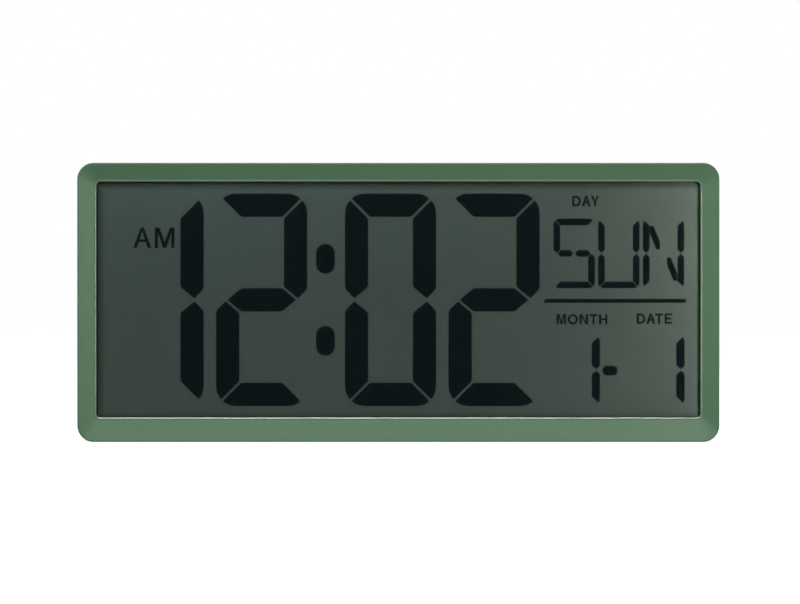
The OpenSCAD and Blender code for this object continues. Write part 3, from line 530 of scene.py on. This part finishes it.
@dataclass(frozen=True)
class BrightMetal:
    """Plated steel, drawn along one axis.

    Attributes:
        name: The material's name.
        colour: The bright plating's colour.
        roughness: Its mean roughness.
        drawn: How close together the drawing lines are along x, y and z.
        line: How far the lines are apart where drawn is 1.
        depth: The depth of the lines.
        line_swing: How much the lines change the roughness.
        patch: The size of the dull patches.
        dull: How bright the dullest patch is, as a share.
        patch_swing: How much the patches change the roughness.
    """

    name: str
    colour: Colour
    roughness: float = 0.28
    drawn: Place = (0.05, 1.0, 1.0)
    line: float = 0.12 * MM
    depth: float = 0.004 * MM
    line_swing: float = 0.2
    patch: float = 2.5 * MM
    dull: float = 0.9
    patch_swing: float = 0.1

    def make(self) -> bpy.types.Material:
        """Builds the material: metal with fine drawing lines and a few dull patches.

        Returns:
            The material.
        """
        shade = Surface(self.name)
        lines = shade.noise(self.line, detail=3.0, stretch=self.drawn)
        patches = shade.noise(self.patch)
        return shade.principled(
            Base_Color=shade.blend(patches, shaded(self.colour, self.dull), self.colour),
            Metallic=1.0,
            Roughness=self.roughness + lines.swing(self.line_swing) + patches.swing(self.patch_swing),
            Normal=shade.bump(lines, self.depth),
        )


@dataclass(frozen=True)
class CellFoam:
    """Soft black foam with open cells."""

    name: str = "gasket_foam"
    colour: Colour = (0.012, 0.012, 0.013)
    roughness: float = 0.95
    shine: float = 0.1
    cell: float = 0.35 * MM
    depth: float = 0.1 * MM
    colour_swing: float = 0.4

    def make(self) -> bpy.types.Material:
        """Builds the material: matt black with small pits.

        Returns:
            The material.
        """
        shade = Surface(self.name)
        pits = shade.pits(self.cell)
        return shade.principled(
            Base_Color=shade.uneven(pits, self.colour, self.colour_swing),
            Roughness=self.roughness,
            Specular_IOR_Level=self.shine,
            Normal=shade.bump(pits, self.depth),
        )


@dataclass(frozen=True)
class LayeredRubber:
    """Contact rubber, in which conducting and insulating slices take turns.

    Attributes:
        name: The material's name.
        pitch: How far two dark slices are apart.
        wave: The length of the wave pattern at a scale of 1.
        dark: The conducting slices' colour.
        pale: The insulating slices' colour.
        roughness: The dark slices' roughness.
        gloss: How much less rough the pale slices are.
    """

    name: str = "contact_rubber"
    pitch: float = 0.18 * MM
    wave: float = 0.314
    dark: Colour = (0.012, 0.012, 0.012)
    pale: Colour = (0.28, 0.26, 0.24)
    roughness: float = 0.75
    gloss: float = 0.1

    def make(self) -> bpy.types.Material:
        """Builds the material: fine upright stripes along the strip.

        Returns:
            The material.
        """
        shade = Surface(self.name)
        waves = shade.node(
            "ShaderNodeTexWave",
            {"wave_type": "BANDS", "bands_direction": "X"},
            {"Vector": shade.place, "Scale": self.wave / self.pitch, "Distortion": 0.0},
        )
        stripe = Value(shade, waves.outputs["Fac"]) > 0.5
        return shade.principled(
            Base_Color=shade.blend(stripe, self.dark, self.pale),
            Roughness=self.roughness - self.gloss * stripe,
        )


@dataclass(frozen=True)
class BoardLacquer:
    """A circuit board's green lacquer, with its copper tracks under it.

    Attributes:
        name: The material's name.
        green: The lacquer's colour.
        track: Its colour over a track.
        per_metre: How many units of the brick pattern lie in a metre.
        brick: The pattern's own scale.
        stagger: How far each row of bricks is set off, as a share of a brick.
        track_wide: The tracks' width, in the pattern's units.
        track_soft: How soft their edges are.
        proud: How far the tracks stand up.
        weave: The size of the board's weave.
        weave_height: The weave's height, as a share of a track's.
        weave_swing: How much the weave changes the roughness.
        roughness: The lacquer's mean roughness.
    """

    name: str = "board_lacquer"
    green: Colour = tone(38, 92, 58)
    track: Colour = tone(74, 128, 72)
    per_metre: float = 900
    brick: float = 0.22
    stagger: float = 0.5
    track_wide: float = 0.06
    track_soft: float = 0.2
    proud: float = 0.03 * MM
    weave: float = 0.4 * MM
    weave_height: float = 0.15
    weave_swing: float = 0.1
    roughness: float = 0.34

    def make(self) -> bpy.types.Material:
        """Builds the material: lacquer with paler tracks that stand a little proud.

        Returns:
            The material.
        """
        shade = Surface(self.name)
        upright = shade.node(
            "ShaderNodeMapping",
            {},
            {"Vector": shade.place, "Rotation": (QUARTER_TURN, 0, 0), "Scale": (self.per_metre,) * 3},
        )
        bricks = shade.node(
            "ShaderNodeTexBrick",
            {"offset": self.stagger},
            {
                "Vector": upright.outputs[0],
                "Scale": self.brick,
                "Mortar Size": self.track_wide,
                "Mortar Smooth": self.track_soft,
            },
        )
        tracks = Value(shade, bricks.outputs["Fac"])
        weave = shade.noise(self.weave)
        return shade.principled(
            Base_Color=shade.blend(tracks, self.green, self.track),
            Roughness=self.roughness + weave.swing(self.weave_swing),
            Normal=shade.bump(tracks + self.weave_height * weave, self.proud),
        )


@dataclass(frozen=True)
class CellJacket:
    """The printed jacket and bare steel ends of the two round cells, which lie head to tail.

    Attributes:
        name: The material's name.
        middle_x: The middle of the cells' length.
        middle_z: The height between the two cells.
        half_jacket: Half of the jacket's length.
        band_from: Where the band at the positive end begins, from the middle.
        body: The jacket's colour.
        band: The band's colour.
        steel: The bare ends' colour.
        metal: How metallic the jacket is.
        roughness: The mean roughness.
        scuff: The size of the scuffs.
        scuff_swing: How much the scuffs change the roughness.
    """

    name: str = "cell_jacket_print"
    middle_x: float = -100 * MM
    middle_z: float = 80 * MM
    half_jacket: float = 24.6 * MM
    band_from: float = 14.0 * MM
    body: Colour = tone(40, 44, 50)
    band: Colour = tone(176, 120, 66)
    steel: Colour = (0.62, 0.62, 0.64)
    metal: float = 0.35
    roughness: float = 0.3
    scuff: float = 1.5 * MM
    scuff_swing: float = 0.12

    def make(self) -> bpy.types.Material:
        """Builds the material: a dark body, a copper band and steel beyond the jacket.

        Returns:
            The material.
        """
        shade = Surface(self.name)
        along, _, height = shade.axes()
        upper = height > self.middle_z
        outward = (along - self.middle_x) * (2.0 * upper - 1.0)
        banded = outward > self.band_from
        bare = (outward > self.half_jacket) + (outward < -self.half_jacket)
        scuffs = shade.noise(self.scuff, detail=3.0)
        jacket = shade.blend(banded, self.body, self.band)
        return shade.principled(
            Base_Color=shade.blend(bare, jacket, self.steel),
            Metallic=self.metal + (1 - self.metal) * bare,
            Roughness=self.roughness + scuffs.swing(self.scuff_swing),
        )


class Weight(Enum):
    """How heavy the strokes of a legend are: its stems and its bars, as shares of its height."""

    PLAIN = (0.15, 0.125)
    HEAVY = (0.205, 0.185)


@dataclass(frozen=True)
class PlainCapitals:
    """Upright capitals of even strokes, drawn one unit high as closed outlines.

    Attributes:
        weight: How heavy the strokes are.
        gap: The space between two letters.
        wide: Each letter's width.
        close_pairs: The space in the pairs that stand closer.
        bow_steps: How many straight steps make up an arc.
        a_leg: The foot of a leg of the A, in stems.
        a_rung: The height of the A's bar.
        a_peak: The height of the A's inner corner.
        d_root: Where the D's bow begins, as a share of its width.
        e_short: How much shorter the E's middle bar is, in stems.
        m_arm: The top of an arm of the M, in stems.
        m_shoulder: The height of the M's inner shoulders.
        m_valley: The height of the M's valley.
        n_arm: The ends of the N's slope, in stems.
        n_shoulder: The height of the N's inner shoulder.
        y_arm: The top of an arm of the Y, in stems.
        y_fork: The height of the Y's outer fork.
        y_valley: The height of the Y's inner fork.
    """

    weight: Weight
    gap: float = 0.17
    wide: dict[str, float] = field(
        default_factory=lambda: {
            "A": 0.9, "D": 0.86, "E": 0.75, "H": 0.85, "M": 0.97, "N": 0.87, "O": 1.05, "T": 0.79, "Y": 0.84
        }
    )
    close_pairs: dict[str, float] = field(default_factory=lambda: {"AT": 0.0, "AY": 0.0, "DA": 0.09})
    bow_steps: int = 24
    a_leg: float = 1.2
    a_rung: float = 0.3
    a_peak: float = 0.82
    d_root: float = 0.42
    e_short: float = 1 / 3
    m_arm: float = 1.45
    m_shoulder: float = 0.76
    m_valley: float = 0.3
    n_arm: float = 1.1
    n_shoulder: float = 0.74
    y_arm: float = 1.2
    y_fork: float = 0.42
    y_valley: float = 0.54

    @staticmethod
    def _both_sides(right: Outline, wide: float) -> Outline:
        """Closes an outline from its right half, which runs from the foot round to the top."""
        return right + [(wide - x, y) for x, y in reversed(right) if x != wide / 2]

    def _bow(self, middle: float, reach: float, half_high: float, turn: float) -> Outline:
        """Gives an arc that runs anticlockwise from the foot.

        Args:
            middle: The x of the arc's axis.
            reach: How far the arc reaches from its axis.
            half_high: Half of the arc's height.
            turn: The angle that the arc covers.

        Returns:
            The arc's points.
        """
        steps = range(self.bow_steps + 1)
        angles = [turn * step / self.bow_steps - QUARTER_TURN for step in steps]
        return [(middle + reach * math.cos(angle), 0.5 + half_high * math.sin(angle)) for angle in angles]

    def _round(self, sign: str) -> list[Outline]:
        """Draws the D or the O.

        Args:
            sign: The letter.

        Returns:
            Its outer outline and its eye.
        """
        wide = self.wide[sign]
        stem, bar = self.weight.value
        if sign == "O":
            outer = self._bow(wide / 2, wide / 2, 0.5, FULL_TURN)
            eye = self._bow(wide / 2, wide / 2 - stem, 0.5 - bar, FULL_TURN)
            return [outer[:-1], eye[:-1]]
        root = self.d_root * wide
        outer = self._bow(root, wide - root, 0.5, HALF_TURN)
        eye = self._bow(root, wide - root - stem, 0.5 - bar, HALF_TURN)
        return [[(0, 0), *outer, (0, 1)], [(stem, bar), *eye, (stem, 1 - bar)]]

    def _square(self, sign: str) -> list[Outline]:
        """Draws the E, the H or the T.

        Args:
            sign: The letter.

        Returns:
            Its outline.
        """
        wide = self.wide[sign]
        axis = wide / 2
        stem, bar = self.weight.value
        low, high = 0.5 - bar / 2, 0.5 + bar / 2
        if sign == "E":
            short = wide - self.e_short * stem
            foot = [(0, 0), (wide, 0), (wide, bar), (stem, bar)]
            middle = [(stem, low), (short, low), (short, high), (stem, high)]
            top = [(stem, 1 - bar), (wide, 1 - bar), (wide, 1), (0, 1)]
            return [foot + middle + top]
        if sign == "H":
            inner = wide - stem
            leg = [(axis, low), (inner, low), (inner, 0), (wide, 0)]
            arm = [(wide, 1), (inner, 1), (inner, high), (axis, high)]
            return [self._both_sides(leg + arm, wide)]
        edge = axis + stem / 2
        return [self._both_sides([(edge, 0), (edge, 1 - bar), (wide, 1 - bar), (wide, 1)], wide)]

    def _slanted(self, sign: str) -> list[Outline]:
        """Draws the A, the M, the N or the Y.

        Args:
            sign: The letter.

        Returns:
            Its outer outline, and the A's eye.
        """
        wide = self.wide[sign]
        axis = wide / 2
        stem, bar = self.weight.value
        inner = wide - stem
        edge = axis + stem / 2
        if sign == "A":
            foot = wide - self.a_leg * stem
            rung, over, peak = self.a_rung, self.a_rung + bar, self.a_peak
            lower = foot + (axis - foot) * rung / peak
            upper = foot + (axis - foot) * over / peak
            leg = [(axis, rung), (lower, rung), (foot, 0), (wide, 0), (edge, 1)]
            return [self._both_sides(leg, wide), [(upper, over), (axis, peak), (wide - upper, over)]]
        if sign == "M":
            leg = [(edge, 0), (inner, self.m_shoulder), (inner, 0), (wide, 0)]
            arm = [(wide, 1), (wide - self.m_arm * stem, 1), (axis, self.m_valley)]
            return [self._both_sides(leg + arm, wide)]
        if sign == "N":
            slope = self.n_arm * stem
            foot = [(0, 0), (stem, 0), (stem, self.n_shoulder), (wide - slope, 0), (wide, 0)]
            top = [(wide, 1), (inner, 1), (inner, 1 - self.n_shoulder), (slope, 1), (0, 1)]
            return [foot + top]
        arm = [(edge, self.y_fork), (wide, 1), (wide - self.y_arm * stem, 1), (axis, self.y_valley)]
        return [self._both_sides([(edge, 0), *arm], wide)]

    def letter(self, sign: str) -> list[Outline]:
        """Draws one letter.

        Args:
            sign: The letter.

        Returns:
            Its outer outline, and its inner one where it has a closed eye.
        """
        if sign in "DO":
            return self._round(sign)
        if sign in "EHT":
            return self._square(sign)
        return self._slanted(sign)

    def word(self, name: str, letters: str) -> bpy.types.Curve:
        """Sets a word.

        Args:
            name: The curve's name.
            letters: The word.

        Returns:
            A flat curve, filled between its outlines.
        """
        curve = bpy.data.curves.new(name, "CURVE")
        curve.dimensions = "2D"
        curve.fill_mode = "BOTH"
        start = 0.0
        for place, sign in enumerate(letters):
            for outline in self.letter(sign):
                spline = curve.splines.new("POLY")
                spline.points.add(len(outline) - 1)
                for point, (x, y) in zip(spline.points, outline):
                    point.co = (start + x, y, 0, 1)
                spline.use_cyclic_u = True
            start += self.wide[sign] + self.close_pairs.get(letters[place:place + 2], self.gap)
        return curve


@dataclass(frozen=True)
class Panel:
    """The upright rectangle that a word fills."""

    left: float
    right: float
    low: float
    high: float


@dataclass(frozen=True)
class Legend:
    """A word printed on the display."""

    name: str
    word: str
    panel: Panel
    weight: Weight = Weight.PLAIN


@dataclass(frozen=True)
class KeyWord:
    """A word printed on the middle of a key, with its width and height."""

    key: str
    word: str
    wide: float
    tall: float = 2.4 * MM


@dataclass(frozen=True)
class Lettering:
    """Makes flat words into thin plates between two depths.

    Attributes:
        near: The lowest y of the plates.
        far: Their highest y.
        from_behind: Whether the words are read from the back.
        type_steps: How many straight steps make up an arc of the built-in type.
    """

    near: float
    far: float
    from_behind: bool = False
    type_steps: int = 6

    def typed(self, name: str, letters: str) -> bpy.types.Curve:
        """Sets a word in the plain built-in type.

        Args:
            name: The curve's name.
            letters: The word.

        Returns:
            The word as a text curve.
        """
        curve = bpy.data.curves.new(name, "FONT")
        curve.body = letters
        curve.resolution_u = self.type_steps
        return curve

    def make(self, curve: bpy.types.Curve, panel: Panel) -> bpy.types.Object:
        """Makes one word.

        Args:
            curve: The flat word, which gives the piece its name.
            panel: The rectangle that it fills.

        Returns:
            The word as a mesh piece.
        """
        name = curve.name
        # Any thickness does here: the word is stretched to its own between near and far.
        curve.extrude = 0.5
        draft = bpy.data.objects.new(name + "_draft", curve)
        bpy.context.scene.collection.objects.link(draft)
        depsgraph = bpy.context.evaluated_depsgraph_get()
        mesh = bpy.data.meshes.new_from_object(draft.evaluated_get(depsgraph))
        bpy.data.objects.remove(draft)
        bpy.data.curves.remove(curve)
        mesh.transform(Matrix.Rotation(QUARTER_TURN, 4, "X"))
        if self.from_behind:
            mesh.transform(Matrix.Rotation(HALF_TURN, 4, "Z"))
        mesh.name = name
        low = Vector((panel.left, self.near, panel.low))
        high = Vector((panel.right, self.far, panel.high))
        self._fit(mesh, low, high)
        piece = bpy.data.objects.new(name, mesh)
        bpy.context.scene.collection.objects.link(piece)
        return piece

    @staticmethod
    def _fit(mesh: bpy.types.Mesh, low: Vector, high: Vector) -> None:
        """Stretches and moves a mesh so that it fills a box.

        Args:
            mesh: The mesh.
            low: The box's lowest corner.
            high: The box's highest corner.
        """
        corners = [vertex.co for vertex in mesh.vertices]
        start = Vector(min(co[axis] for co in corners) for axis in range(3))
        stop = Vector(max(co[axis] for co in corners) for axis in range(3))
        scale = [(high[axis] - low[axis]) / (stop[axis] - start[axis]) for axis in range(3)]
        mesh.transform(Matrix.Translation(low) @ Matrix.Diagonal((*scale, 1)) @ Matrix.Translation(-start))
        mesh.update()


def dress(material: bpy.types.Material, *nodes: str) -> None:
    """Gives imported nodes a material.

    Args:
        material: The finish.
        *nodes: The nodes' names.
    """
    for name in nodes:
        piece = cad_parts[name]
        for slot in piece.material_slots:
            slot.material = material
        LOG.info("dressed %s in %s", name, material.name)


def join(piece: bpy.types.Object, material: bpy.types.Material, body: str) -> None:
    """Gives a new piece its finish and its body.

    Args:
        piece: The new piece.
        material: Its finish.
        body: The body that it rides on.
    """
    piece.data.materials.clear()
    piece.data.materials.append(material)
    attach(piece, body)
    LOG.info("made %s in %s", piece.name, material.name)


@dataclass
class CaseShells:
    """The front shell with its dished rim, and the rear shell."""

    front: RimPlastic = RimPlastic("front_green")
    rear: RearPlastic = RearPlastic("rear_green")

    def build(self) -> None:
        """Dresses the two shells."""
        dress(self.front.make(), "front_bezel")
        dress(self.rear.make(), "rear_cover")


@dataclass
class DisplayStack:
    """The layers of the display, from the gasket to the holder, and the legends printed on it."""

    gasket: CellFoam = CellFoam()
    film: ClearSheet = ClearSheet("front_film")
    glass: ClearSheet = ClearSheet("front_glass", tint=(0.985, 0.99, 0.985), index=1.02)
    ink: Ink = Ink("segment_dark", (0.0055, 0.0117, 0.0138), shine=0.0)
    ground: DisplayGround = DisplayGround()
    holder: MouldedPlastic = MouldedPlastic("holder_white", INNER_WHITE)
    strip: LayeredRubber = LayeredRubber()
    legends: tuple[Legend, ...] = (
        Legend("legend_half_day", "AM", Panel(-152.5 * MM, -128.75 * MM, 111.2 * MM, 123.05 * MM)),
        Legend("legend_day", "DAY", Panel(100.0 * MM, 115.5 * MM, 135.2 * MM, 141.3 * MM), Weight.HEAVY),
        Legend("legend_month", "MONTH", Panel(91.0 * MM, 120.2 * MM, 67.36 * MM, 73.22 * MM), Weight.HEAVY),
        Legend("legend_date", "DATE", Panel(137.15 * MM, 157.5 * MM, 67.69 * MM, 73.6 * MM), Weight.HEAVY),
    )

    def build(self) -> None:
        """Dresses the layers, and prints the legends in the ink of the segments."""
        ink = self.ink.make()
        self._dress(ink)
        self._print(ink)

    def _dress(self, ink: bpy.types.Material) -> None:
        """Dresses the layers.

        Args:
            ink: The finish of the segments.
        """
        dress(self.gasket.make(), "bezel_gasket")
        dress(self.film.make(), "lcd_front_polariser")
        dress(self.glass.make(), "lcd_front_glass")
        dress(ink, "lcd_segments")
        dress(self.ground.make(), "lcd_rear_glass", "lcd_reflector", "lcd_edge_seal")
        dress(self.holder.make(), "lcd_holder")
        dress(self.strip.make(), "zebra_strip")

    def _print(self, ink: bpy.types.Material) -> None:
        """Sets the legends between the two glasses, level with the segments.

        Args:
            ink: The finish of the legends.
        """
        near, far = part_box("lcd_segments")
        letters = Lettering(near.y, far.y)
        for legend in self.legends:
            word = PlainCapitals(legend.weight).word(legend.name, legend.word)
            join(letters.make(word, legend.panel), ink, "case")


@dataclass
class ClockBoard:
    """The clock's board with its parts."""

    lacquer: BoardLacquer = BoardLacquer()
    resin: MouldedPlastic = MouldedPlastic("chip_resin", (0.012, 0.012, 0.012), roughness=0.22, shine=0.5)
    capacitor: MouldedPlastic = MouldedPlastic("capacitor_tan", tone(176, 148, 112))
    switch: MouldedPlastic = MouldedPlastic("switch_black", (0.016, 0.016, 0.017))
    plunger: MouldedPlastic = MouldedPlastic("plunger_white", INNER_WHITE)

    def build(self) -> None:
        """Dresses the board and what is soldered to it."""
        dress(self.lacquer.make(), "circuit_board")
        dress(self.resin.make(), "clock_chip")
        dress(self.capacitor.make(), "chip_capacitors")
        dress(self.switch.make(), "key_switches")
        dress(self.plunger.make(), "set_plunger", "up_plunger", "down_plunger", "format_plunger")


@dataclass
class SettingKeys:
    """The four keys on the back, with a word printed on each."""

    cap: MouldedPlastic = MouldedPlastic("key_black", (0.02, 0.021, 0.022), roughness=0.42)
    ink: Ink = Ink("key_print", tone(214, 222, 214), roughness=0.55, shine=0.3)
    words: tuple[KeyWord, ...] = (
        KeyWord("set_key", "SET", 6.2 * MM),
        KeyWord("up_key", "+", 2.4 * MM),
        KeyWord("down_key", "-", 2.4 * MM, tall=0.4 * MM),
        KeyWord("format_key", "12/24", 7.8 * MM),
    )
    proud: float = 0.006 * MM

    def build(self) -> None:
        """Dresses the keys and prints their words."""
        dress(self.cap.make(), *(word.key for word in self.words))
        ink = self.ink.make()
        for word in self.words:
            self._print(word, ink)

    def _print(self, word: KeyWord, ink: bpy.types.Material) -> None:
        """Prints a word on the middle of its key.

        Args:
            word: The word.
            ink: Its finish.
        """
        low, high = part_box(word.key)
        middle = (low + high) / 2
        beside, above = word.wide / 2, word.tall / 2
        panel = Panel(middle.x - beside, middle.x + beside, middle.z - above, middle.z + above)
        letters = Lettering(high.y - self.proud, high.y + self.proud, from_behind=True)
        piece = letters.make(letters.typed(word.key + "_word", word.word), panel)
        join(piece, ink, word.key)


@dataclass
class BatteryBay:
    """The cells with their contacts and leads, and the door over them."""

    jacket: CellJacket = CellJacket()
    contact: BrightMetal = BrightMetal("contact_nickel", (0.62, 0.61, 0.58))
    red: MouldedPlastic = MouldedPlastic("lead_red", tone(176, 34, 28), roughness=0.4)
    black: MouldedPlastic = MouldedPlastic("lead_black", (0.012, 0.012, 0.013), roughness=0.4)
    door: RearPlastic = RearPlastic("door_green")

    def build(self) -> None:
        """Dresses the bay's pieces."""
        dress(self.jacket.make(), "battery_cells")
        dress(self.contact.make(), "plus_contact", "minus_contact", "bridge_contact")
        dress(self.red.make(), "red_lead")
        dress(self.black.make(), "black_lead")
        dress(self.door.make(), "battery_door")


@dataclass
class TableStand:
    """The fold-out stand and its pin."""

    leaf: RearPlastic = RearPlastic("stand_green")
    pin: BrightMetal = BrightMetal("pin_steel", (0.58, 0.58, 0.6))

    def build(self) -> None:
        """Dresses the stand."""
        dress(self.leaf.make(), "table_stand")
        dress(self.pin.make(), "stand_pin")


@dataclass
class Fasteners:
    """The screws of the case, the holder and the board, and the crystal's can."""

    zinc: BrightMetal = BrightMetal("screw_zinc", (0.56, 0.56, 0.57), roughness=0.32, drawn=(1, 1, 1))

    def build(self) -> None:
        """Dresses the screws and the can."""
        dress(self.zinc.make(), "cover_screws", "holder_screws", "board_screws", "quartz_crystal")


@dataclass(frozen=True)
class Softbox:
    """One flat studio lamp, which is turned to its aim."""

    name: str
    at: Place
    wide: float
    tall: float
    watts: float
    colour: Colour = WHITE
    aim: Place = (0.0, 0.0, 0.08)

    def make(self) -> None:
        """Hangs the lamp."""
        lamp = bpy.data.lights.new(self.name, "AREA")
        lamp.shape = "RECTANGLE"
        lamp.size = self.wide
        lamp.size_y = self.tall
        lamp.energy = self.watts
        lamp.color = self.colour
        piece = bpy.data.objects.new(self.name, lamp)
        piece.location = self.at
        turned = (Vector(self.aim) - Vector(self.at)).to_track_quat("-Z", "Y")
        piece.rotation_euler = turned.to_euler()
        bpy.context.scene.collection.objects.link(piece)


@dataclass
class Studio:
    """Camera, floor, lamps and white surroundings.

    Attributes:
        image_wide: The picture's width in pixels.
        pixel: What a pixel covers at the rim's face.
        eye: The camera's x and z.
        distance: How far the camera is from the rim's face.
        rim_y: Where the rim's face is.
        sight: How far the camera sees.
        floor_half: Half of the floor's width.
        floor_pale: How much of the lamps' light the floor throws back.
        floor_lift: How bright the floor is to the eye without that light, close to the clock.
        floor_near: How far from the clock the floor begins to turn white.
        half_case: Half of the clock's width.
        room: How bright the surroundings are as a light.
        lamps: The lamps.
    """

    image_wide: int = 800
    pixel: float = 0.57341 * MM
    eye: tuple[float, float] = (0.96 * MM, 80.2 * MM)
    distance: float = 1.8
    rim_y: float = -13 * MM
    sight: float = 100.0
    floor_half: float = 6.0
    floor_pale: float = 0.55
    floor_lift: float = 0.9
    floor_near: float = 0.15
    half_case: float = 0.184
    room: float = 0.03
    lamps: tuple[Softbox, ...] = (
        Softbox("lamp_front", (0.0, -1.75, 1.5), 1.6, 0.6, 9.4),
        Softbox("lamp_over", (0.0, -0.35, 1.2), 0.6, 0.1, 7.2),
        Softbox("lamp_right", (0.37, -0.78, 0.17), 0.07, 0.34, 1.6, (1.0, 0.88, 0.79)),
        Softbox("lamp_left", (-0.38, -1.7, 0.55), 1.2, 0.3, 4.9),
        Softbox("lamp_back", (0.3, 1.4, 1.0), 1.2, 0.7, 8.0),
    )

    def build(self) -> None:
        """Sets the studio up."""
        self._camera()
        self._floor()
        self._room()
        for lamp in self.lamps:
            lamp.make()
        bpy.context.scene.view_settings.view_transform = "Standard"

    def _camera(self) -> None:
        """Looks straight at the front, from the photo's place."""
        camera = bpy.data.cameras.new("camera")
        camera.lens = camera.sensor_width * self.distance / (self.image_wide * self.pixel)
        camera.clip_end = self.sight
        piece = bpy.data.objects.new("camera", camera)
        piece.location = (self.eye[0], self.rim_y - self.distance, self.eye[1])
        piece.rotation_euler = (QUARTER_TURN, 0, 0)
        bpy.context.scene.collection.objects.link(piece)
        bpy.context.scene.camera = piece

    def _floor(self) -> None:
        """Lays the floor."""
        mesh = bpy.data.meshes.new("floor")
        sheet = bmesh.new()
        bmesh.ops.create_grid(sheet, x_segments=1, y_segments=1, size=self.floor_half)
        sheet.to_mesh(mesh)
        sheet.free()
        mesh.materials.append(self._floor_paint())
        floor = bpy.data.objects.new("floor", mesh)
        bpy.context.scene.collection.objects.link(floor)

    def _floor_paint(self) -> bpy.types.Material:
        """Builds the floor's pale paint, which turns white away from the clock and keeps its shadow.

        Returns:
            The material.
        """
        shade = Surface("floor_white")
        eye, mirrored = shade.rays()
        across, back, _ = shade.axes()
        away = (abs(across) - self.half_case).larger(abs(back))
        far = (away - self.floor_near).within(0.0, 1.0)
        lifted = self.floor_lift + (1 - self.floor_lift) * far
        strength = lifted * (eye + (back > 0.0) * mirrored)
        paint = shade.node("ShaderNodeBsdfDiffuse", {}, {"Color": (self.floor_pale,) * 3})
        lift = shade.node("ShaderNodeEmission", {}, {"Color": WHITE, "Strength": strength})
        return shade.close(shade.node("ShaderNodeAddShader", {}, {0: paint.outputs[0], 1: lift.outputs[0]}))

    def _room(self) -> None:
        """Fills the surroundings: white to the eye and in a mirror behind the clock, dimmer as a light."""
        world = bpy.data.worlds.new("white_room")
        world.use_nodes = True
        bpy.context.scene.world = world
        shade = Shade(world.node_tree, "Generated")
        eye, mirrored = shade.rays()
        _, back, _ = shade.axes()
        strength = self.room + (1 - self.room) * (eye + mirrored * (back > 0.0))
        sky = shade.node("ShaderNodeBackground", {}, {"Color": WHITE, "Strength": strength})
        shade.node("ShaderNodeOutputWorld", {}, {"Surface": sky.outputs[0]})


def main() -> None:
    """Sets the studio up and dresses the clock, one sub-assembly after the other."""
    logging.basicConfig(level=logging.INFO, format="%(name)s: %(message)s")
    Studio().build()
    assemblies = (
        CaseShells(), DisplayStack(), ClockBoard(), SettingKeys(), BatteryBay(), TableStand(), Fasteners()
    )
    for assembly in assemblies:
        assembly.build()


if __name__ == "__main__":
    main()
